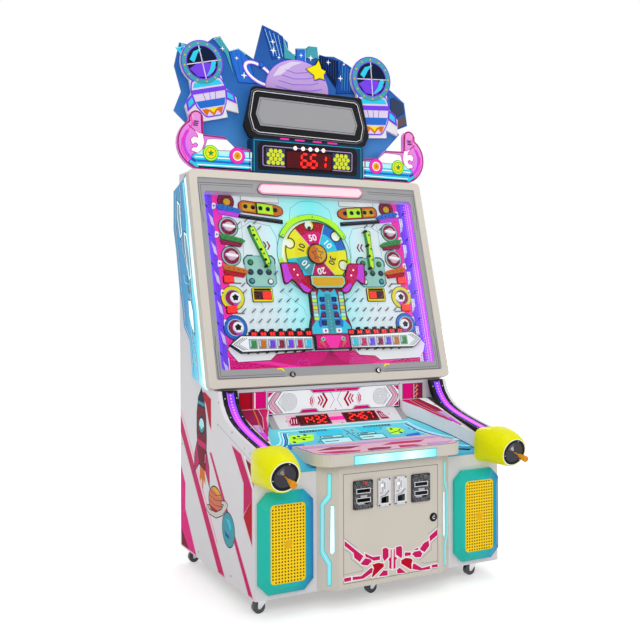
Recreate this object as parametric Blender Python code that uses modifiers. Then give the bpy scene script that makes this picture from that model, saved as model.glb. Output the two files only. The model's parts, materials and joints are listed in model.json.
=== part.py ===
"""Two-player vertical pinball redemption machine, modelled in metres, +Z up.

The measured frame has x = 0 on the centre line, y = 0 at the front face of the two
speaker columns, +Y towards the rear and z = 0 on the floor. One root empty then moves
the whole machine so that the origin lies under the middle of its overall box.
"""

from math import acos, atan2, cos, degrees, hypot, pi, radians, sin, tan

import bmesh
import bpy
from mathutils import Matrix, Vector

# ---------------------------------------------------------------- driving sizes
GAP = 0.0003                # clearance between pieces that rest on each other
DOOR_GAP = 0.0008           # clearance round a hinged door

CABINET_WIDTH = 1.320
CABINET_DEPTH = 1.000
CABINET_TOP = 2.047
CASTER_HEIGHT = 0.075
SIDE_THICK = 0.020
PANEL_THICK = 0.018
BASE_THICK = 0.020

DECK_FRONT_Z = 0.628        # top of the control deck at y = 0
DECK_SLOPE = 0.300          # rise over run
DECK_THICK = 0.012
DECK_BACK_Y = 0.478
LEDGE_HEIGHT = 0.073
LEDGE_INSET = 0.100         # from the cabinet's side to where a ledge ends and the trim starts
LEDGE_CURVE = ((0.170, 0.450), (0.123, 0.363), (0.097, 0.310), (0.074, 0.250), (0.052, 0.200),
               (0.032, 0.130), (0.020, 0.070), (0.017, 0.030))      # (ledge width, y)

# the light trim's top, from the front corner up to the display's underside (y, z)
TRIM_CURVE = ((0.000, 0.731), (0.044, 0.739), (0.130, 0.757), (0.221, 0.778), (0.290, 0.798),
              (0.341, 0.819), (0.380, 0.848), (0.412, 0.882), (0.428, 0.912), (0.439, 0.944))
TRIM_THICK = 0.028

CONSOLE_FRONT_Y = -0.060
CONSOLE_HALF_FRONT = 0.277
CONSOLE_HALF_BACK = 0.360
CONSOLE_BOTTOM_Z = 0.083
CONSOLE_TOP_Z = 0.645
SHELF_FRONT_Y = -0.100
SHELF_BACK_Y = 0.190
SHELF_HALF_WIDTH = 0.390
SHELF_TOP_Z = 0.698
SHELF_CORNER = 0.085
SHELF_WALL = 0.008

DOOR_HALF_WIDTH = 0.256
DOOR_BOTTOM_Z = 0.107
DOOR_TOP_Z = 0.600

REAR_PANEL_Y = 0.480        # front face of the white speaker panel above the deck
SCORE_FRONT_Y = 0.400
SCORE_TOP_Z = 0.805
SCORE_HALF_WIDTH = 0.355
REAR_PANEL_TOP_Z = 0.944
REAR_PANEL_THICK = 0.010

DISPLAY_BOTTOM = (0.453, 0.957)     # (y, z) of the frame's front face, bottom edge
DISPLAY_TOP = (0.749, 2.047)
FRAME_OVERHANG = 0.037              # how far the frame stands out past each cabinet side
FRAME_THICK = 0.045
FRAME_CORNER = 0.030
FRAME_BAND = 0.042                  # width of the frame's flat border
FRAME_INNER_CORNER = 0.012
BEZEL_RECESS = 0.007
BEZEL_THICK = 0.005
WINDOW_HALF_WIDTH = 0.622
WINDOW_BOTTOM = 0.089               # up the display from the frame's bottom edge
WINDOW_TOP = 1.016
WINDOW_CORNER = 0.022
GLASS_THICK = 0.005
GLASS_MARGIN = 0.014
BOARD_FACE = 0.065                  # playfield face, behind the frame's front face
BOARD_THICK = 0.012
BOX_WALL = 0.014

WHEEL_CENTRE = (0.000, 0.703)       # (x, up the display)
WHEEL_RADIUS = 0.186
WHEEL_THICK = 0.012
WHEEL_NOTCH_RADIUS = 0.026
WHEEL_NOTCH_CENTRE = 0.165          # distance of a notch's centre from the wheel's
WHEEL_NOTCHES = 6
WHEEL_FIRST_NOTCH = 99              # degrees from +X
WHEEL_BACK_GAP = 0.003              # running gap between the wheel and the playfield
BOSS_RADIUS = 0.034
BOSS_HEIGHT = 0.008
SHAFT_RADIUS = 0.006
SHAFT_REACH = 0.030                 # how far the shaft runs into the motor
MOTOR_SIZE = 0.090
MOTOR_DEPTH = 0.070
MOTOR_FLANGE = 0.006

LIGHT_PLATE_THICK = 0.035

MARQUEE_Y = 0.772
MARQUEE_BOX_DEPTH = 0.066
MARQUEE_BOX_HALF = 0.337
MARQUEE_BOX_TOP = 2.237
WING_THICK = 0.026
SKYLINE_THICK = 0.012
POD_THICK = 0.020
TITLE_HALF = 0.380
TITLE_TOP = 2.508
TITLE_THICK = 0.022

SPEAKER_INSET = 0.142               # from the cabinet's side to the speaker's centre line
SPEAKER_Z = 0.3215
SPEAKER_PORT = (0.070, 0.150)       # half sizes of the hole in the column behind the grille
SPEAKER_HALF = (0.1325, 0.2215)
SPEAKER_CHAMFER = 0.045
SPEAKER_DEPTH = 0.040
SPEAKER_STRAIGHT = 0.018            # depth of the bezel's square part, before its slanted rim
SPEAKER_TAPER = 0.030
GRILLE_HALF = (0.085, 0.1735)
GRILLE_CORNER = 0.020
GRILLE_THICK = 0.003
GRILLE_RECESS = 0.002

PLUNGER_INSET = 0.0545              # from the cabinet's side to the plunger's axis
PLUNGER_Y = -0.195
PLUNGER_Z = 0.647
PLUNGER_TILT = radians(13.5)        # the plunger points forward and this far down
DISC_RADIUS = 0.063
DISC_THICK = 0.006
DISC_RECESS = 0.002
HOUSING_WALL = 0.0035
# sections of the nose from its root to the disc: distance behind the disc, x and z offset,
# how much wider and taller than the disc's radius, squareness, share of the plunger's tilt
HOUSING_SECTIONS = ((0.195, -0.0085, 0.0130, 0.0180, 0.0210, 4.0, 0.00),
                    (0.160, -0.0060, 0.0180, 0.0245, 0.0250, 3.2, 0.15),
                    (0.120, -0.0030, 0.0200, 0.0285, 0.0275, 2.6, 0.40),
                    (0.080, -0.0010, 0.0165, 0.0280, 0.0260, 2.2, 0.70),
                    (0.045, 0.0000, 0.0105, 0.0230, 0.0230, 2.0, 1.00),
                    (0.020, 0.0000, 0.0047, 0.0170, 0.0170, 2.0, 1.00),
                    (0.005, 0.0000, 0.0012, 0.0110, 0.0110, 2.0, 1.00),
                    (0.000, 0.0000, 0.0000, 0.0060, 0.0060, 2.0, 1.00))
ROD_RADIUS = 0.003
KNOB_START = 0.034
KNOB_LENGTH = 0.054
KNOB_RADII = (0.0075, 0.0155)
KNOB_CHAMFER = 0.003
ROD_REACH = 0.100
STOP_WASHER = (0.010, 0.070, 0.075)  # radius, and where it starts and ends along the rod

CASTER_INSET = 0.085                # from the cabinet's side to a caster's swivel axis
CASTER_FRONT_Y = 0.070
CASTER_REAR_INSET = 0.075           # from the cabinet's back to the rear swivel axes
CASTER_TRAIL = 0.040
CASTER_WHEEL_RADIUS = 0.029
CASTER_WHEEL_WIDTH = 0.022
CASTER_WHEEL_SIDES = 24

COIN_PLATE = (0.068, 0.130)
COIN_X = 0.044
TICKET_PLATE = (0.101, 0.130)
TICKET_X = 0.156
PLATES_Z = 0.500
PLATE_THICK = 0.008
PLATE_LAP = 0.008                   # how far a plate covers the door round its window
BUTTON_RADIUS = 0.008
BUTTON_OFFSET = (-0.017, 0.034)     # from the coin plate's centre
BUTTON_DEPTH = 0.006
BUTTON_PROUD = 0.005
LOCK_X = 0.230
LOCK_Z = 0.352
LOCK_HOLE = 0.0105
LOCK_BARREL = 0.0102
LOCK_FLANGE = 0.0140
LOCK_PROUD = 0.004
CAM_SIZE = (0.008, 0.034, 0.003)    # half width, reach and thickness

REAR_DOOR_HALF = 0.350
REAR_DOOR_Z = (0.250, 1.150)

# ---------------------------------------------------------------- worked-out sizes
HALF = CABINET_WIDTH / 2
INNER_X = HALF - SIDE_THICK - GAP
LEDGE_OUTER_X = HALF - LEDGE_INSET
FRAME_HALF_WIDTH = HALF + FRAME_OVERHANG
SPEAKER_X = HALF - SPEAKER_INSET
PLUNGER_X = HALF - PLUNGER_INSET
CASTER_X = HALF - CASTER_INSET
CASTER_REAR_Y = CABINET_DEPTH - CASTER_REAR_INSET
COLUMN_TOP_Z = DECK_FRONT_Z - DECK_THICK - 0.0005
LEAN = atan2(DISPLAY_TOP[0] - DISPLAY_BOTTOM[0], DISPLAY_TOP[1] - DISPLAY_BOTTOM[1])
DISPLAY_LENGTH = hypot(DISPLAY_TOP[0] - DISPLAY_BOTTOM[0], DISPLAY_TOP[1] - DISPLAY_BOTTOM[1])
UP = Vector((0, sin(LEAN), cos(LEAN)))
OUT = Vector((0, -cos(LEAN), sin(LEAN)))
DISPLAY_ORIGIN = Vector((0, *DISPLAY_BOTTOM))
KNOB_END = KNOB_START + KNOB_LENGTH
MARQUEE_BACK_Y = MARQUEE_Y + MARQUEE_BOX_DEPTH
MARQUEE_FLOOR = CABINET_TOP + GAP
KNOB_FACE_RADIUS = KNOB_RADII[1] - KNOB_CHAMFER
FRONT_MOST_Y = PLUNGER_Y - KNOB_END * cos(PLUNGER_TILT) - KNOB_FACE_RADIUS * sin(PLUNGER_TILT)
CENTRE_Y = (FRONT_MOST_Y + CABINET_DEPTH) / 2


def deck_z(y):
    return DECK_FRONT_Z + DECK_SLOPE * y


def frame_back_y(z):
    """y of the plane that the display frame's back lies in, at height z."""
    foot = DISPLAY_ORIGIN - OUT * FRAME_THICK
    return foot.y + (z - foot.z) * tan(LEAN)


# ---------------------------------------------------------------- scene and helpers
def clear_scene():
    for old in list(bpy.data.objects):
        bpy.data.objects.remove(old, do_unlink=True)


def make_collection(name):
    made = bpy.data.collections.new(name)
    bpy.context.scene.collection.children.link(made)
    return made


clear_scene()
PARTS = make_collection("pinball_redemption_machine")
CUTTERS = make_collection("cutters")
CUTTERS.hide_render = True

ROOT = bpy.data.objects.new("machine_origin", None)
PARTS.objects.link(ROOT)
ROOT.location = (0, -CENTRE_Y, 0)

MATERIALS = {}


def material(name, colour, rough=0.5, metal=0.0):
    if name not in MATERIALS:
        made = bpy.data.materials.new(name)
        made.use_nodes = True
        shader = made.node_tree.nodes["Principled BSDF"]
        shader.inputs["Base Color"].default_value = (*colour, 1)
        shader.inputs["Roughness"].default_value = rough
        shader.inputs["Metallic"].default_value = metal
        MATERIALS[name] = made
    return MATERIALS[name]


WHITE = material("white_laminate", (0.86, 0.85, 0.86), 0.35)
BEIGE = material("cream_plastic", (0.80, 0.76, 0.70), 0.40)
GREY = material("grey_bezel", (0.55, 0.54, 0.56), 0.35)
BLACK = material("black_plastic", (0.02, 0.02, 0.03), 0.35)
CYAN = material("cyan_print", (0.20, 0.68, 0.85), 0.30)
TEAL = material("teal_plastic", (0.10, 0.70, 0.66), 0.35)
YELLOW = material("yellow_plastic", (0.93, 0.90, 0.02), 0.35)
GRILLE = material("grille_yellow", (0.95, 0.68, 0.08), 0.40)
PURPLE = material("light_trim", (0.30, 0.08, 0.80), 0.30)
NAVY = material("navy_plastic", (0.05, 0.10, 0.25), 0.35)
PINK = material("pink_plastic", (0.85, 0.25, 0.60), 0.30)
ORANGE = material("orange_knob", (0.95, 0.55, 0.08), 0.35)
METAL = material("zinc_metal", (0.60, 0.60, 0.62), 0.30, 1.0)
CHROME = material("bright_metal", (0.75, 0.75, 0.77), 0.15, 1.0)
RUBBER = material("grey_rubber", (0.12, 0.12, 0.13), 0.70)
GLASS = material("clear_glass", (0.80, 0.92, 0.95), 0.05)
BOARD = material("raw_board", (0.45, 0.36, 0.25), 0.70)


def place(obj, finish, parent=None):
    """Links an object to the machine, gives it its finish and its parent."""
    if obj.name not in PARTS.objects:
        PARTS.objects.link(obj)
    obj.data.materials.clear()
    obj.data.materials.append(finish)
    obj.parent = parent or ROOT
    return obj


def make_empty(name, matrix):
    empty = bpy.data.objects.new(name, None)
    PARTS.objects.link(empty)
    empty.parent = ROOT
    empty.matrix_local = matrix
    return empty


def new_mesh_object(name, bm):
    bmesh.ops.remove_doubles(bm, verts=bm.verts, dist=0.00001)
    bmesh.ops.recalc_face_normals(bm, faces=bm.faces)
    mesh = bpy.data.meshes.new(name)
    bm.to_mesh(mesh)
    bm.free()
    return bpy.data.objects.new(name, mesh)


def smooth(obj, angle=35):
    obj.data.shade_smooth()
    obj.data.set_sharp_from_angle(angle=radians(angle))
    return obj


def box(name, low, high):
    """A box between two corners, with its scale applied."""
    bm = bmesh.new()
    bmesh.ops.create_cube(bm, size=1)
    size = Vector(high) - Vector(low)
    middle = (Vector(high) + Vector(low)) / 2
    bmesh.ops.scale(bm, vec=size, verts=bm.verts)
    bmesh.ops.translate(bm, vec=middle, verts=bm.verts)
    return new_mesh_object(name, bm)


def cylinder(name, radius, start, end, sides=32, end_radius=None):
    """A cylinder, or a cone if end_radius is given, from one point to another."""
    start, end = Vector(start), Vector(end)
    bm = bmesh.new()
    bmesh.ops.create_cone(bm, cap_ends=True, segments=sides, radius1=radius,
                          radius2=radius if end_radius is None else end_radius,
                          depth=(end - start).length)
    turn = Vector((0, 0, 1)).rotation_difference(end - start).to_matrix().to_4x4()
    bmesh.ops.transform(bm, matrix=Matrix.Translation((start + end) / 2) @ turn, verts=bm.verts)
    return new_mesh_object(name, bm)


def arc(centre, radius, start, end, steps):
    """Points along an arc, angles in degrees."""
    return [(centre[0] + radius * cos(radians(start + (end - start) * i / steps)),
             centre[1] + radius * sin(radians(start + (end - start) * i / steps)))
            for i in range(steps + 1)]


def rounded(points, radius, steps=4):
    """The outline with each corner rounded, the radius limited by the shorter side."""
    result = []
    count = len(points)
    for i, corner in enumerate(points):
        here = Vector(corner)
        before = Vector(points[i - 1]) - here
        after = Vector(points[(i + 1) % count]) - here
        half_angle = before.angle(after) / 2
        reach = min(radius / tan(half_angle), before.length * 0.45, after.length * 0.45)
        first = here + before.normalized() * reach
        last = here + after.normalized() * reach
        for step in range(steps + 1):
            t = step / steps
            result.append(tuple((1 - t) ** 2 * first + 2 * t * (1 - t) * here + t ** 2 * last))
    return result


def rectangle(half_x, low_y, high_y):
    return [(-half_x, low_y), (half_x, low_y), (half_x, high_y), (-half_x, high_y)]


def centred_rectangle(half_x, half_y):
    return rectangle(half_x, -half_y, half_y)


def moved(points, x, y):
    return [(x + px, y + py) for px, py in points]


def mirrored(points, side):
    """The outline for the right side (+1) or its mirror image for the left (-1)."""
    return [(side * x, y) for x, y in points]


# planes that a flat outline can be drawn in: matrices from (outline x, outline y, thickness)
FRONT_VIEW = Matrix(((1, 0, 0, 0), (0, 0, -1, 0), (0, 1, 0, 0), (0, 0, 0, 1)))
SIDE_VIEW = Matrix(((0, 0, 1, 0), (1, 0, 0, 0), (0, 1, 0, 0), (0, 0, 0, 1)))
PLAN_VIEW = Matrix.Identity(4)
DISPLAY_VIEW = Matrix.Translation(DISPLAY_ORIGIN) @ Matrix.Rotation(pi / 2 - LEAN, 4, "X")


def plate(name, outlines, view, low, high):
    """A flat piece: a 2D curve of one or more outlines, extruded from low to high."""
    curve = bpy.data.curves.new(name, "CURVE")
    curve.dimensions = "2D"
    curve.fill_mode = "BOTH"
    curve.extrude = (high - low) / 2
    for outline in outlines:
        spline = curve.splines.new("POLY")
        spline.points.add(len(outline) - 1)
        for point, (x, y) in zip(spline.points, outline):
            point.co = (x, y, 0, 1)
        spline.use_cyclic_u = True
    flat = bpy.data.objects.new(name, curve)
    bpy.context.scene.collection.objects.link(flat)
    bpy.context.view_layer.update()
    graph = bpy.context.evaluated_depsgraph_get()
    mesh = bpy.data.meshes.new_from_object(flat.evaluated_get(graph))
    bpy.data.objects.remove(flat)
    bm = bmesh.new()
    bm.from_mesh(mesh)
    bpy.data.meshes.remove(mesh)
    bmesh.ops.translate(bm, vec=(0, 0, (high + low) / 2), verts=bm.verts)
    bmesh.ops.transform(bm, matrix=view, verts=bm.verts)
    made = new_mesh_object(name, bm)
    made.data.name = name
    return made


def prism(name, outline, low_z, high_z):
    """An upright piece on a plan outline; low_z and high_z give its height at each y."""
    bm = bmesh.new()
    low = [bm.verts.new((x, y, low_z(y))) for x, y in outline]
    high = [bm.verts.new((x, y, high_z(y))) for x, y in outline]
    bm.faces.new(low)
    bm.faces.new(high)
    for i in range(len(outline)):
        j = (i + 1) % len(outline)
        bm.faces.new((low[i], low[j], high[j], high[i]))
    bmesh.ops.triangulate(bm, faces=bm.faces)
    return new_mesh_object(name, bm)


def loft(name, rings):
    """A closed tube through rings of points, the last ring joined to the first."""
    bm = bmesh.new()
    verts = [[bm.verts.new(point) for point in ring] for ring in rings]
    for i, ring in enumerate(verts):
        following = verts[(i + 1) % len(verts)]
        for j in range(len(ring)):
            k = (j + 1) % len(ring)
            bm.faces.new((ring[j], ring[k], following[k], following[j]))
    return new_mesh_object(name, bm)


def turned(name, profile, steps=32):
    """A solid of revolution round +Z from (radius, z) points, by a Screw modifier."""
    bm = bmesh.new()
    line = [bm.verts.new((radius, 0, z)) for radius, z in profile]
    for first, second in zip(line, line[1:]):
        bm.edges.new((first, second))
    mesh = bpy.data.meshes.new(name)
    bm.to_mesh(mesh)
    bm.free()
    obj = bpy.data.objects.new(name, mesh)
    screw = obj.modifiers.new("turn", "SCREW")
    screw.steps = screw.render_steps = steps
    screw.use_merge_vertices = True
    screw.merge_threshold = 0.00001
    return obj


def combine(obj, others, operation):
    """Cuts away or joins the helpers, which become hidden cutters under the same parent."""
    for index, helper in enumerate(others):
        helper.name = f"{obj.name}_{operation.lower()}_{index}"
        CUTTERS.objects.link(helper)
        helper.hide_render = True
        helper.display_type = "WIRE"
        helper.parent = obj
        step = obj.modifiers.new(f"{operation.lower()}_{index}", "BOOLEAN")
        step.operation = operation
        step.object = helper
    return obj


def cut(obj, *cutters):
    return combine(obj, cutters, "DIFFERENCE")


def join(obj, *others):
    return combine(obj, others, "UNION")


# ---------------------------------------------------------------- cabinet
def side_outline():
    """Side panel in (y, z): straight front, the trim's curve, the display's lean."""
    return ([(0, CASTER_HEIGHT)] + list(TRIM_CURVE)
            + [(frame_back_y(REAR_PANEL_TOP_Z) + GAP, REAR_PANEL_TOP_Z),
               (frame_back_y(CABINET_TOP) + GAP, CABINET_TOP),
               (CABINET_DEPTH, CABINET_TOP), (CABINET_DEPTH, CASTER_HEIGHT)])


def make_cabinet():
    for side, word in ((-1, "left"), (1, "right")):
        low, high = sorted((side * (HALF - SIDE_THICK), side * HALF))
        place(plate(f"side_panel_{word}", [side_outline()], SIDE_VIEW, low, high), WHITE)

    place(box("bottom_panel", (-INNER_X, PANEL_THICK + GAP, CASTER_HEIGHT),
              (INNER_X, CABINET_DEPTH - PANEL_THICK - GAP, CASTER_HEIGHT + BASE_THICK)), BOARD)

    rear = plate("rear_panel",
                 [rectangle(INNER_X, CASTER_HEIGHT, CABINET_TOP - BASE_THICK - GAP),
                  rectangle(REAR_DOOR_HALF, *REAR_DOOR_Z)],
                 FRONT_VIEW, -CABINET_DEPTH, -(CABINET_DEPTH - PANEL_THICK))
    place(rear, BOARD)
    door = box("rear_door",
               (-REAR_DOOR_HALF + DOOR_GAP, -PANEL_THICK, REAR_DOOR_Z[0] + DOOR_GAP),
               (REAR_DOOR_HALF - DOOR_GAP, 0, REAR_DOOR_Z[1] - DOOR_GAP))
    for vertex in door.data.vertices:
        vertex.co.x -= REAR_DOOR_HALF - DOOR_GAP
    hinge = make_empty("rear_door_hinge",
                       Matrix.Translation((REAR_DOOR_HALF - DOOR_GAP, CABINET_DEPTH, 0)))
    place(door, BOARD, hinge)

    frame_top = DISPLAY_ORIGIN + UP * DISPLAY_LENGTH
    slope = tan(LEAN)
    top_front = MARQUEE_Y
    under_front = frame_top.z - (top_front - frame_top.y) * slope + GAP * 2
    back_y = frame_back_y(CABINET_TOP - BASE_THICK) + SIDE_THICK
    under_back = frame_top.z - (back_y - frame_top.y) * slope + GAP * 2
    outline = [(top_front, under_front), (back_y, under_back),
               (back_y, CABINET_TOP - BASE_THICK),
               (CABINET_DEPTH, CABINET_TOP - BASE_THICK), (CABINET_DEPTH, CABINET_TOP),
               (top_front, CABINET_TOP)]
    place(plate("top_panel", [outline], SIDE_VIEW, -INNER_X, INNER_X), WHITE)


def make_columns():
    column_inner = console_outline(PANEL_THICK)[-1][0]
    for side, word in ((-1, "left"), (1, "right")):
        outline = mirrored([(column_inner, CASTER_HEIGHT), (INNER_X, CASTER_HEIGHT),
                            (INNER_X, COLUMN_TOP_Z), (column_inner, COLUMN_TOP_Z)], side)
        port = moved(rounded(centred_rectangle(*SPEAKER_PORT), GRILLE_CORNER),
                     side * SPEAKER_X, SPEAKER_Z)
        place(plate(f"column_front_{word}", [outline, port], FRONT_VIEW, -PANEL_THICK, 0), WHITE)


# ---------------------------------------------------------------- speakers
def octagon(half, chamfer):
    x, z = half
    return [(-x + chamfer, -z), (x - chamfer, -z), (x, -z + chamfer), (x, z - chamfer),
            (x - chamfer, z), (-x + chamfer, z), (-x, z - chamfer), (-x, -z + chamfer)]


def make_speakers():
    width, height = GRILLE_HALF
    opening_outline = rounded(centred_rectangle(width, height), GRILLE_CORNER)
    grille_outline = rounded(centred_rectangle(width - GAP, height - GAP), GRILLE_CORNER)
    grille_front = SPEAKER_DEPTH - GRILLE_RECESS
    for side, word in ((-1, "left"), (1, "right")):
        x = side * SPEAKER_X
        bm = bmesh.new()
        rings = []
        for inset, depth in ((0, GAP), (0, SPEAKER_STRAIGHT), (SPEAKER_TAPER, SPEAKER_DEPTH)):
            half = (SPEAKER_HALF[0] - inset, SPEAKER_HALF[1] - inset)
            rings.append([bm.verts.new((x + px, -depth, SPEAKER_Z + pz))
                          for px, pz in octagon(half, SPEAKER_CHAMFER)])
        bm.faces.new(rings[0])
        bm.faces.new(rings[-1])
        for near, far in zip(rings, rings[1:]):
            for i in range(len(near)):
                j = (i + 1) % len(near)
                bm.faces.new((near[i], near[j], far[j], far[i]))
        bezel = new_mesh_object(f"speaker_bezel_{word}", bm)
        opening = plate("opening", [moved(opening_outline, x, SPEAKER_Z)], FRONT_VIEW,
                        -0.020, SPEAKER_DEPTH + 0.020)
        place(cut(bezel, opening), TEAL)
        place(plate(f"speaker_grille_{word}", [moved(grille_outline, x, SPEAKER_Z)], FRONT_VIEW,
                    grille_front - GRILLE_THICK, grille_front), GRILLE)


# ---------------------------------------------------------------- console and door
def console_outline(inset):
    """The console's front wall in plan, moved inwards by inset."""
    run = CONSOLE_HALF_BACK - CONSOLE_HALF_FRONT
    angle = atan2(-CONSOLE_FRONT_Y, run)
    front = CONSOLE_HALF_FRONT - inset * tan(angle / 2)
    back = CONSOLE_HALF_BACK - inset / sin(angle)
    return [(-back, -GAP), (-front, CONSOLE_FRONT_Y + inset),
            (front, CONSOLE_FRONT_Y + inset), (back, -GAP)]


def shelf_outline(wall, past):
    """The console shelf in plan, moved inwards by wall and run past its back edge."""
    side = SHELF_HALF_WIDTH - wall
    radius = SHELF_CORNER - wall
    turn = SHELF_HALF_WIDTH - SHELF_CORNER
    turn_y = SHELF_FRONT_Y + SHELF_CORNER
    back = SHELF_BACK_Y + past
    return ([(-side, back)] + arc((-turn, turn_y), radius, 180, 270, 8)
            + arc((turn, turn_y), radius, 270, 360, 8) + [(side, back)])


def make_console():
    outer = console_outline(0)
    inner = console_outline(PANEL_THICK)
    shell = plate("console_shell", [outer + inner[::-1]], PLAN_VIEW,
                  CONSOLE_BOTTOM_Z, CONSOLE_TOP_Z - GAP)
    opening = box("opening", (-DOOR_HALF_WIDTH - DOOR_GAP, CONSOLE_FRONT_Y - 0.01,
                              DOOR_BOTTOM_Z - DOOR_GAP),
                  (DOOR_HALF_WIDTH + DOOR_GAP, CONSOLE_FRONT_Y + PANEL_THICK + 0.01,
                   DOOR_TOP_Z + DOOR_GAP))
    place(cut(shell, opening), BEIGE)

    shelf = plate("console_top", [shelf_outline(0, 0)], PLAN_VIEW, CONSOLE_TOP_Z, SHELF_TOP_Z)
    hollow = plate("hollow", [shelf_outline(SHELF_WALL, 0.01)], PLAN_VIEW,
                   CONSOLE_TOP_Z - 0.01, SHELF_TOP_Z - SHELF_WALL)
    past = SHELF_BACK_Y + 0.05
    under = prism("deck_wedge", [(-HALF, -0.05), (HALF, -0.05), (HALF, past), (-HALF, past)],
                  lambda y: deck_z(y) - 0.10, lambda y: deck_z(y) + GAP)
    place(cut(shelf, hollow, under), BEIGE)


def make_coin_door():
    """The hinged door and what is fixed to it; its hinge is on its left front edge."""
    edge_x = -DOOR_HALF_WIDTH
    hinge = make_empty("coin_door_hinge", Matrix.Translation((edge_x, CONSOLE_FRONT_Y, 0)))

    def local(obj):
        for vertex in obj.data.vertices:
            vertex.co.x -= edge_x
            vertex.co.y -= CONSOLE_FRONT_Y
        return obj

    door = local(box("coin_door", (-DOOR_HALF_WIDTH, CONSOLE_FRONT_Y, DOOR_BOTTOM_Z),
                     (DOOR_HALF_WIDTH, CONSOLE_FRONT_Y + PANEL_THICK, DOOR_TOP_Z)))
    through = (CONSOLE_FRONT_Y - 0.01, CONSOLE_FRONT_Y + PANEL_THICK + 0.01)
    cutters = []
    for x, (width, height) in ((-TICKET_X, TICKET_PLATE), (-COIN_X, COIN_PLATE),
                               (COIN_X, COIN_PLATE), (TICKET_X, TICKET_PLATE)):
        half_x = width / 2 - PLATE_LAP
        half_z = height / 2 - PLATE_LAP
        cutters.append(local(box("window", (x - half_x, through[0], PLATES_Z - half_z),
                                 (x + half_x, through[1], PLATES_Z + half_z))))
    cutters.append(local(cylinder("lock_hole", LOCK_HOLE, (LOCK_X, through[0], LOCK_Z),
                                  (LOCK_X, through[1], LOCK_Z))))
    place(cut(door, *cutters), BEIGE, hinge)

    for side, word in ((-1, "left"), (1, "right")):
        make_coin_plate(word, side * COIN_X, local, hinge)
        make_ticket_plate(word, side * TICKET_X, local, hinge)
    make_door_lock(edge_x)


def make_coin_plate(word, x, local, hinge):
    """A metal plate with its coin slot, its return cup and a reject button."""
    back = -CONSOLE_FRONT_Y + GAP
    front = back + PLATE_THICK
    button_x = x + BUTTON_OFFSET[0]
    button_z = PLATES_Z + BUTTON_OFFSET[1]
    outline = rounded(centred_rectangle(COIN_PLATE[0] / 2, COIN_PLATE[1] / 2), 0.006, 3)
    slot = rounded(rectangle(0.0016, 0.015, 0.045), 0.001, 2)
    cup = rounded(rectangle(0.020, -0.051, -0.015), 0.006, 3)
    hole = arc((button_x, button_z), BUTTON_RADIUS + GAP, 0, 345, 23)
    outlines = [moved(shape, x, PLATES_Z) for shape in (outline, slot, cup)] + [hole]
    place(local(plate(f"coin_plate_{word}", outlines, FRONT_VIEW, back, front)), METAL, hinge)
    button = cylinder(f"reject_button_{word}", BUTTON_RADIUS,
                      (button_x, -back + BUTTON_DEPTH, button_z),
                      (button_x, -front - BUTTON_PROUD, button_z), 24)
    place(smooth(local(button)), CHROME, hinge)


def make_ticket_plate(word, x, local, hinge):
    """A metal plate with two slots that tickets come out of."""
    back = -CONSOLE_FRONT_Y + GAP
    outline = rounded(centred_rectangle(TICKET_PLATE[0] / 2, TICKET_PLATE[1] / 2), 0.005, 2)
    slots = [moved(centred_rectangle(0.030, 0.0045), 0, z) for z in (0.018, -0.024)]
    outlines = [moved(shape, x, PLATES_Z) for shape in [outline] + slots]
    place(local(plate(f"ticket_plate_{word}", outlines, FRONT_VIEW, back, back + PLATE_THICK)),
          METAL, hinge)


def make_door_lock(edge_x):
    """The cam lock, round its own axis; at rest its cam hangs down, clear of the console."""
    pivot = make_empty("door_lock_axis", Matrix.Translation((LOCK_X, CONSOLE_FRONT_Y, LOCK_Z)))
    half_cam, reach, cam_thick = CAM_SIZE
    cam_y = PANEL_THICK + 0.006
    lock = cylinder("door_lock", LOCK_BARREL, (0, -LOCK_PROUD, 0), (0, PANEL_THICK + 0.012, 0), 24)
    flange = cylinder("flange", LOCK_FLANGE, (0, -LOCK_PROUD, 0), (0, -GAP, 0), 24)
    cam = box("cam", (-half_cam, cam_y, -reach), (half_cam, cam_y + cam_thick, half_cam))
    key_slot = box("key", (-0.001, -0.006, -0.005), (0.001, -0.001, 0.005))
    join(lock, flange, cam)
    place(cut(lock, key_slot), CHROME, pivot)


# ---------------------------------------------------------------- deck, ledges, trim
def ledge_outline():
    """The right ledge in plan: the curved wall beside the deck, then its straight side."""
    side_x = LEDGE_OUTER_X - GAP
    wall = [(side_x - width, y) for width, y in LEDGE_CURVE]
    return ([(wall[0][0], DECK_BACK_Y)] + wall + [(wall[-1][0], GAP)]
            + [(side_x, GAP), (side_x, DECK_BACK_Y)])


def trim_back(curve, thick):
    """The curve moved inwards, square to itself, by thick."""
    inner = []
    for i, (y, z) in enumerate(curve):
        before = Vector(curve[max(i - 1, 0)])
        after = Vector(curve[min(i + 1, len(curve) - 1)])
        along = (after - before).normalized()
        inner.append((y + along.y * thick, z - along.x * thick))
    inner[0] = (curve[0][0], inner[0][1])
    inner[-1] = (inner[-1][0], curve[-1][1])
    return inner


def make_deck():
    place(prism("deck_board", [(-INNER_X, GAP), (INNER_X, GAP), (INNER_X, DECK_BACK_Y),
                               (-INNER_X, DECK_BACK_Y)],
                lambda y: deck_z(y) - DECK_THICK, deck_z), CYAN)
    for side, word in ((-1, "left"), (1, "right")):
        place(prism(f"ledge_{word}", mirrored(ledge_outline(), side),
                    lambda y: deck_z(y) + GAP, lambda y: deck_z(y) + LEDGE_HEIGHT), WHITE)
        low, high = sorted((side * LEDGE_OUTER_X, side * INNER_X))
        outline = list(TRIM_CURVE) + trim_back(TRIM_CURVE, TRIM_THICK)[::-1]
        place(plate(f"led_trim_{word}", [outline], SIDE_VIEW, low, high), PURPLE)


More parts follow.
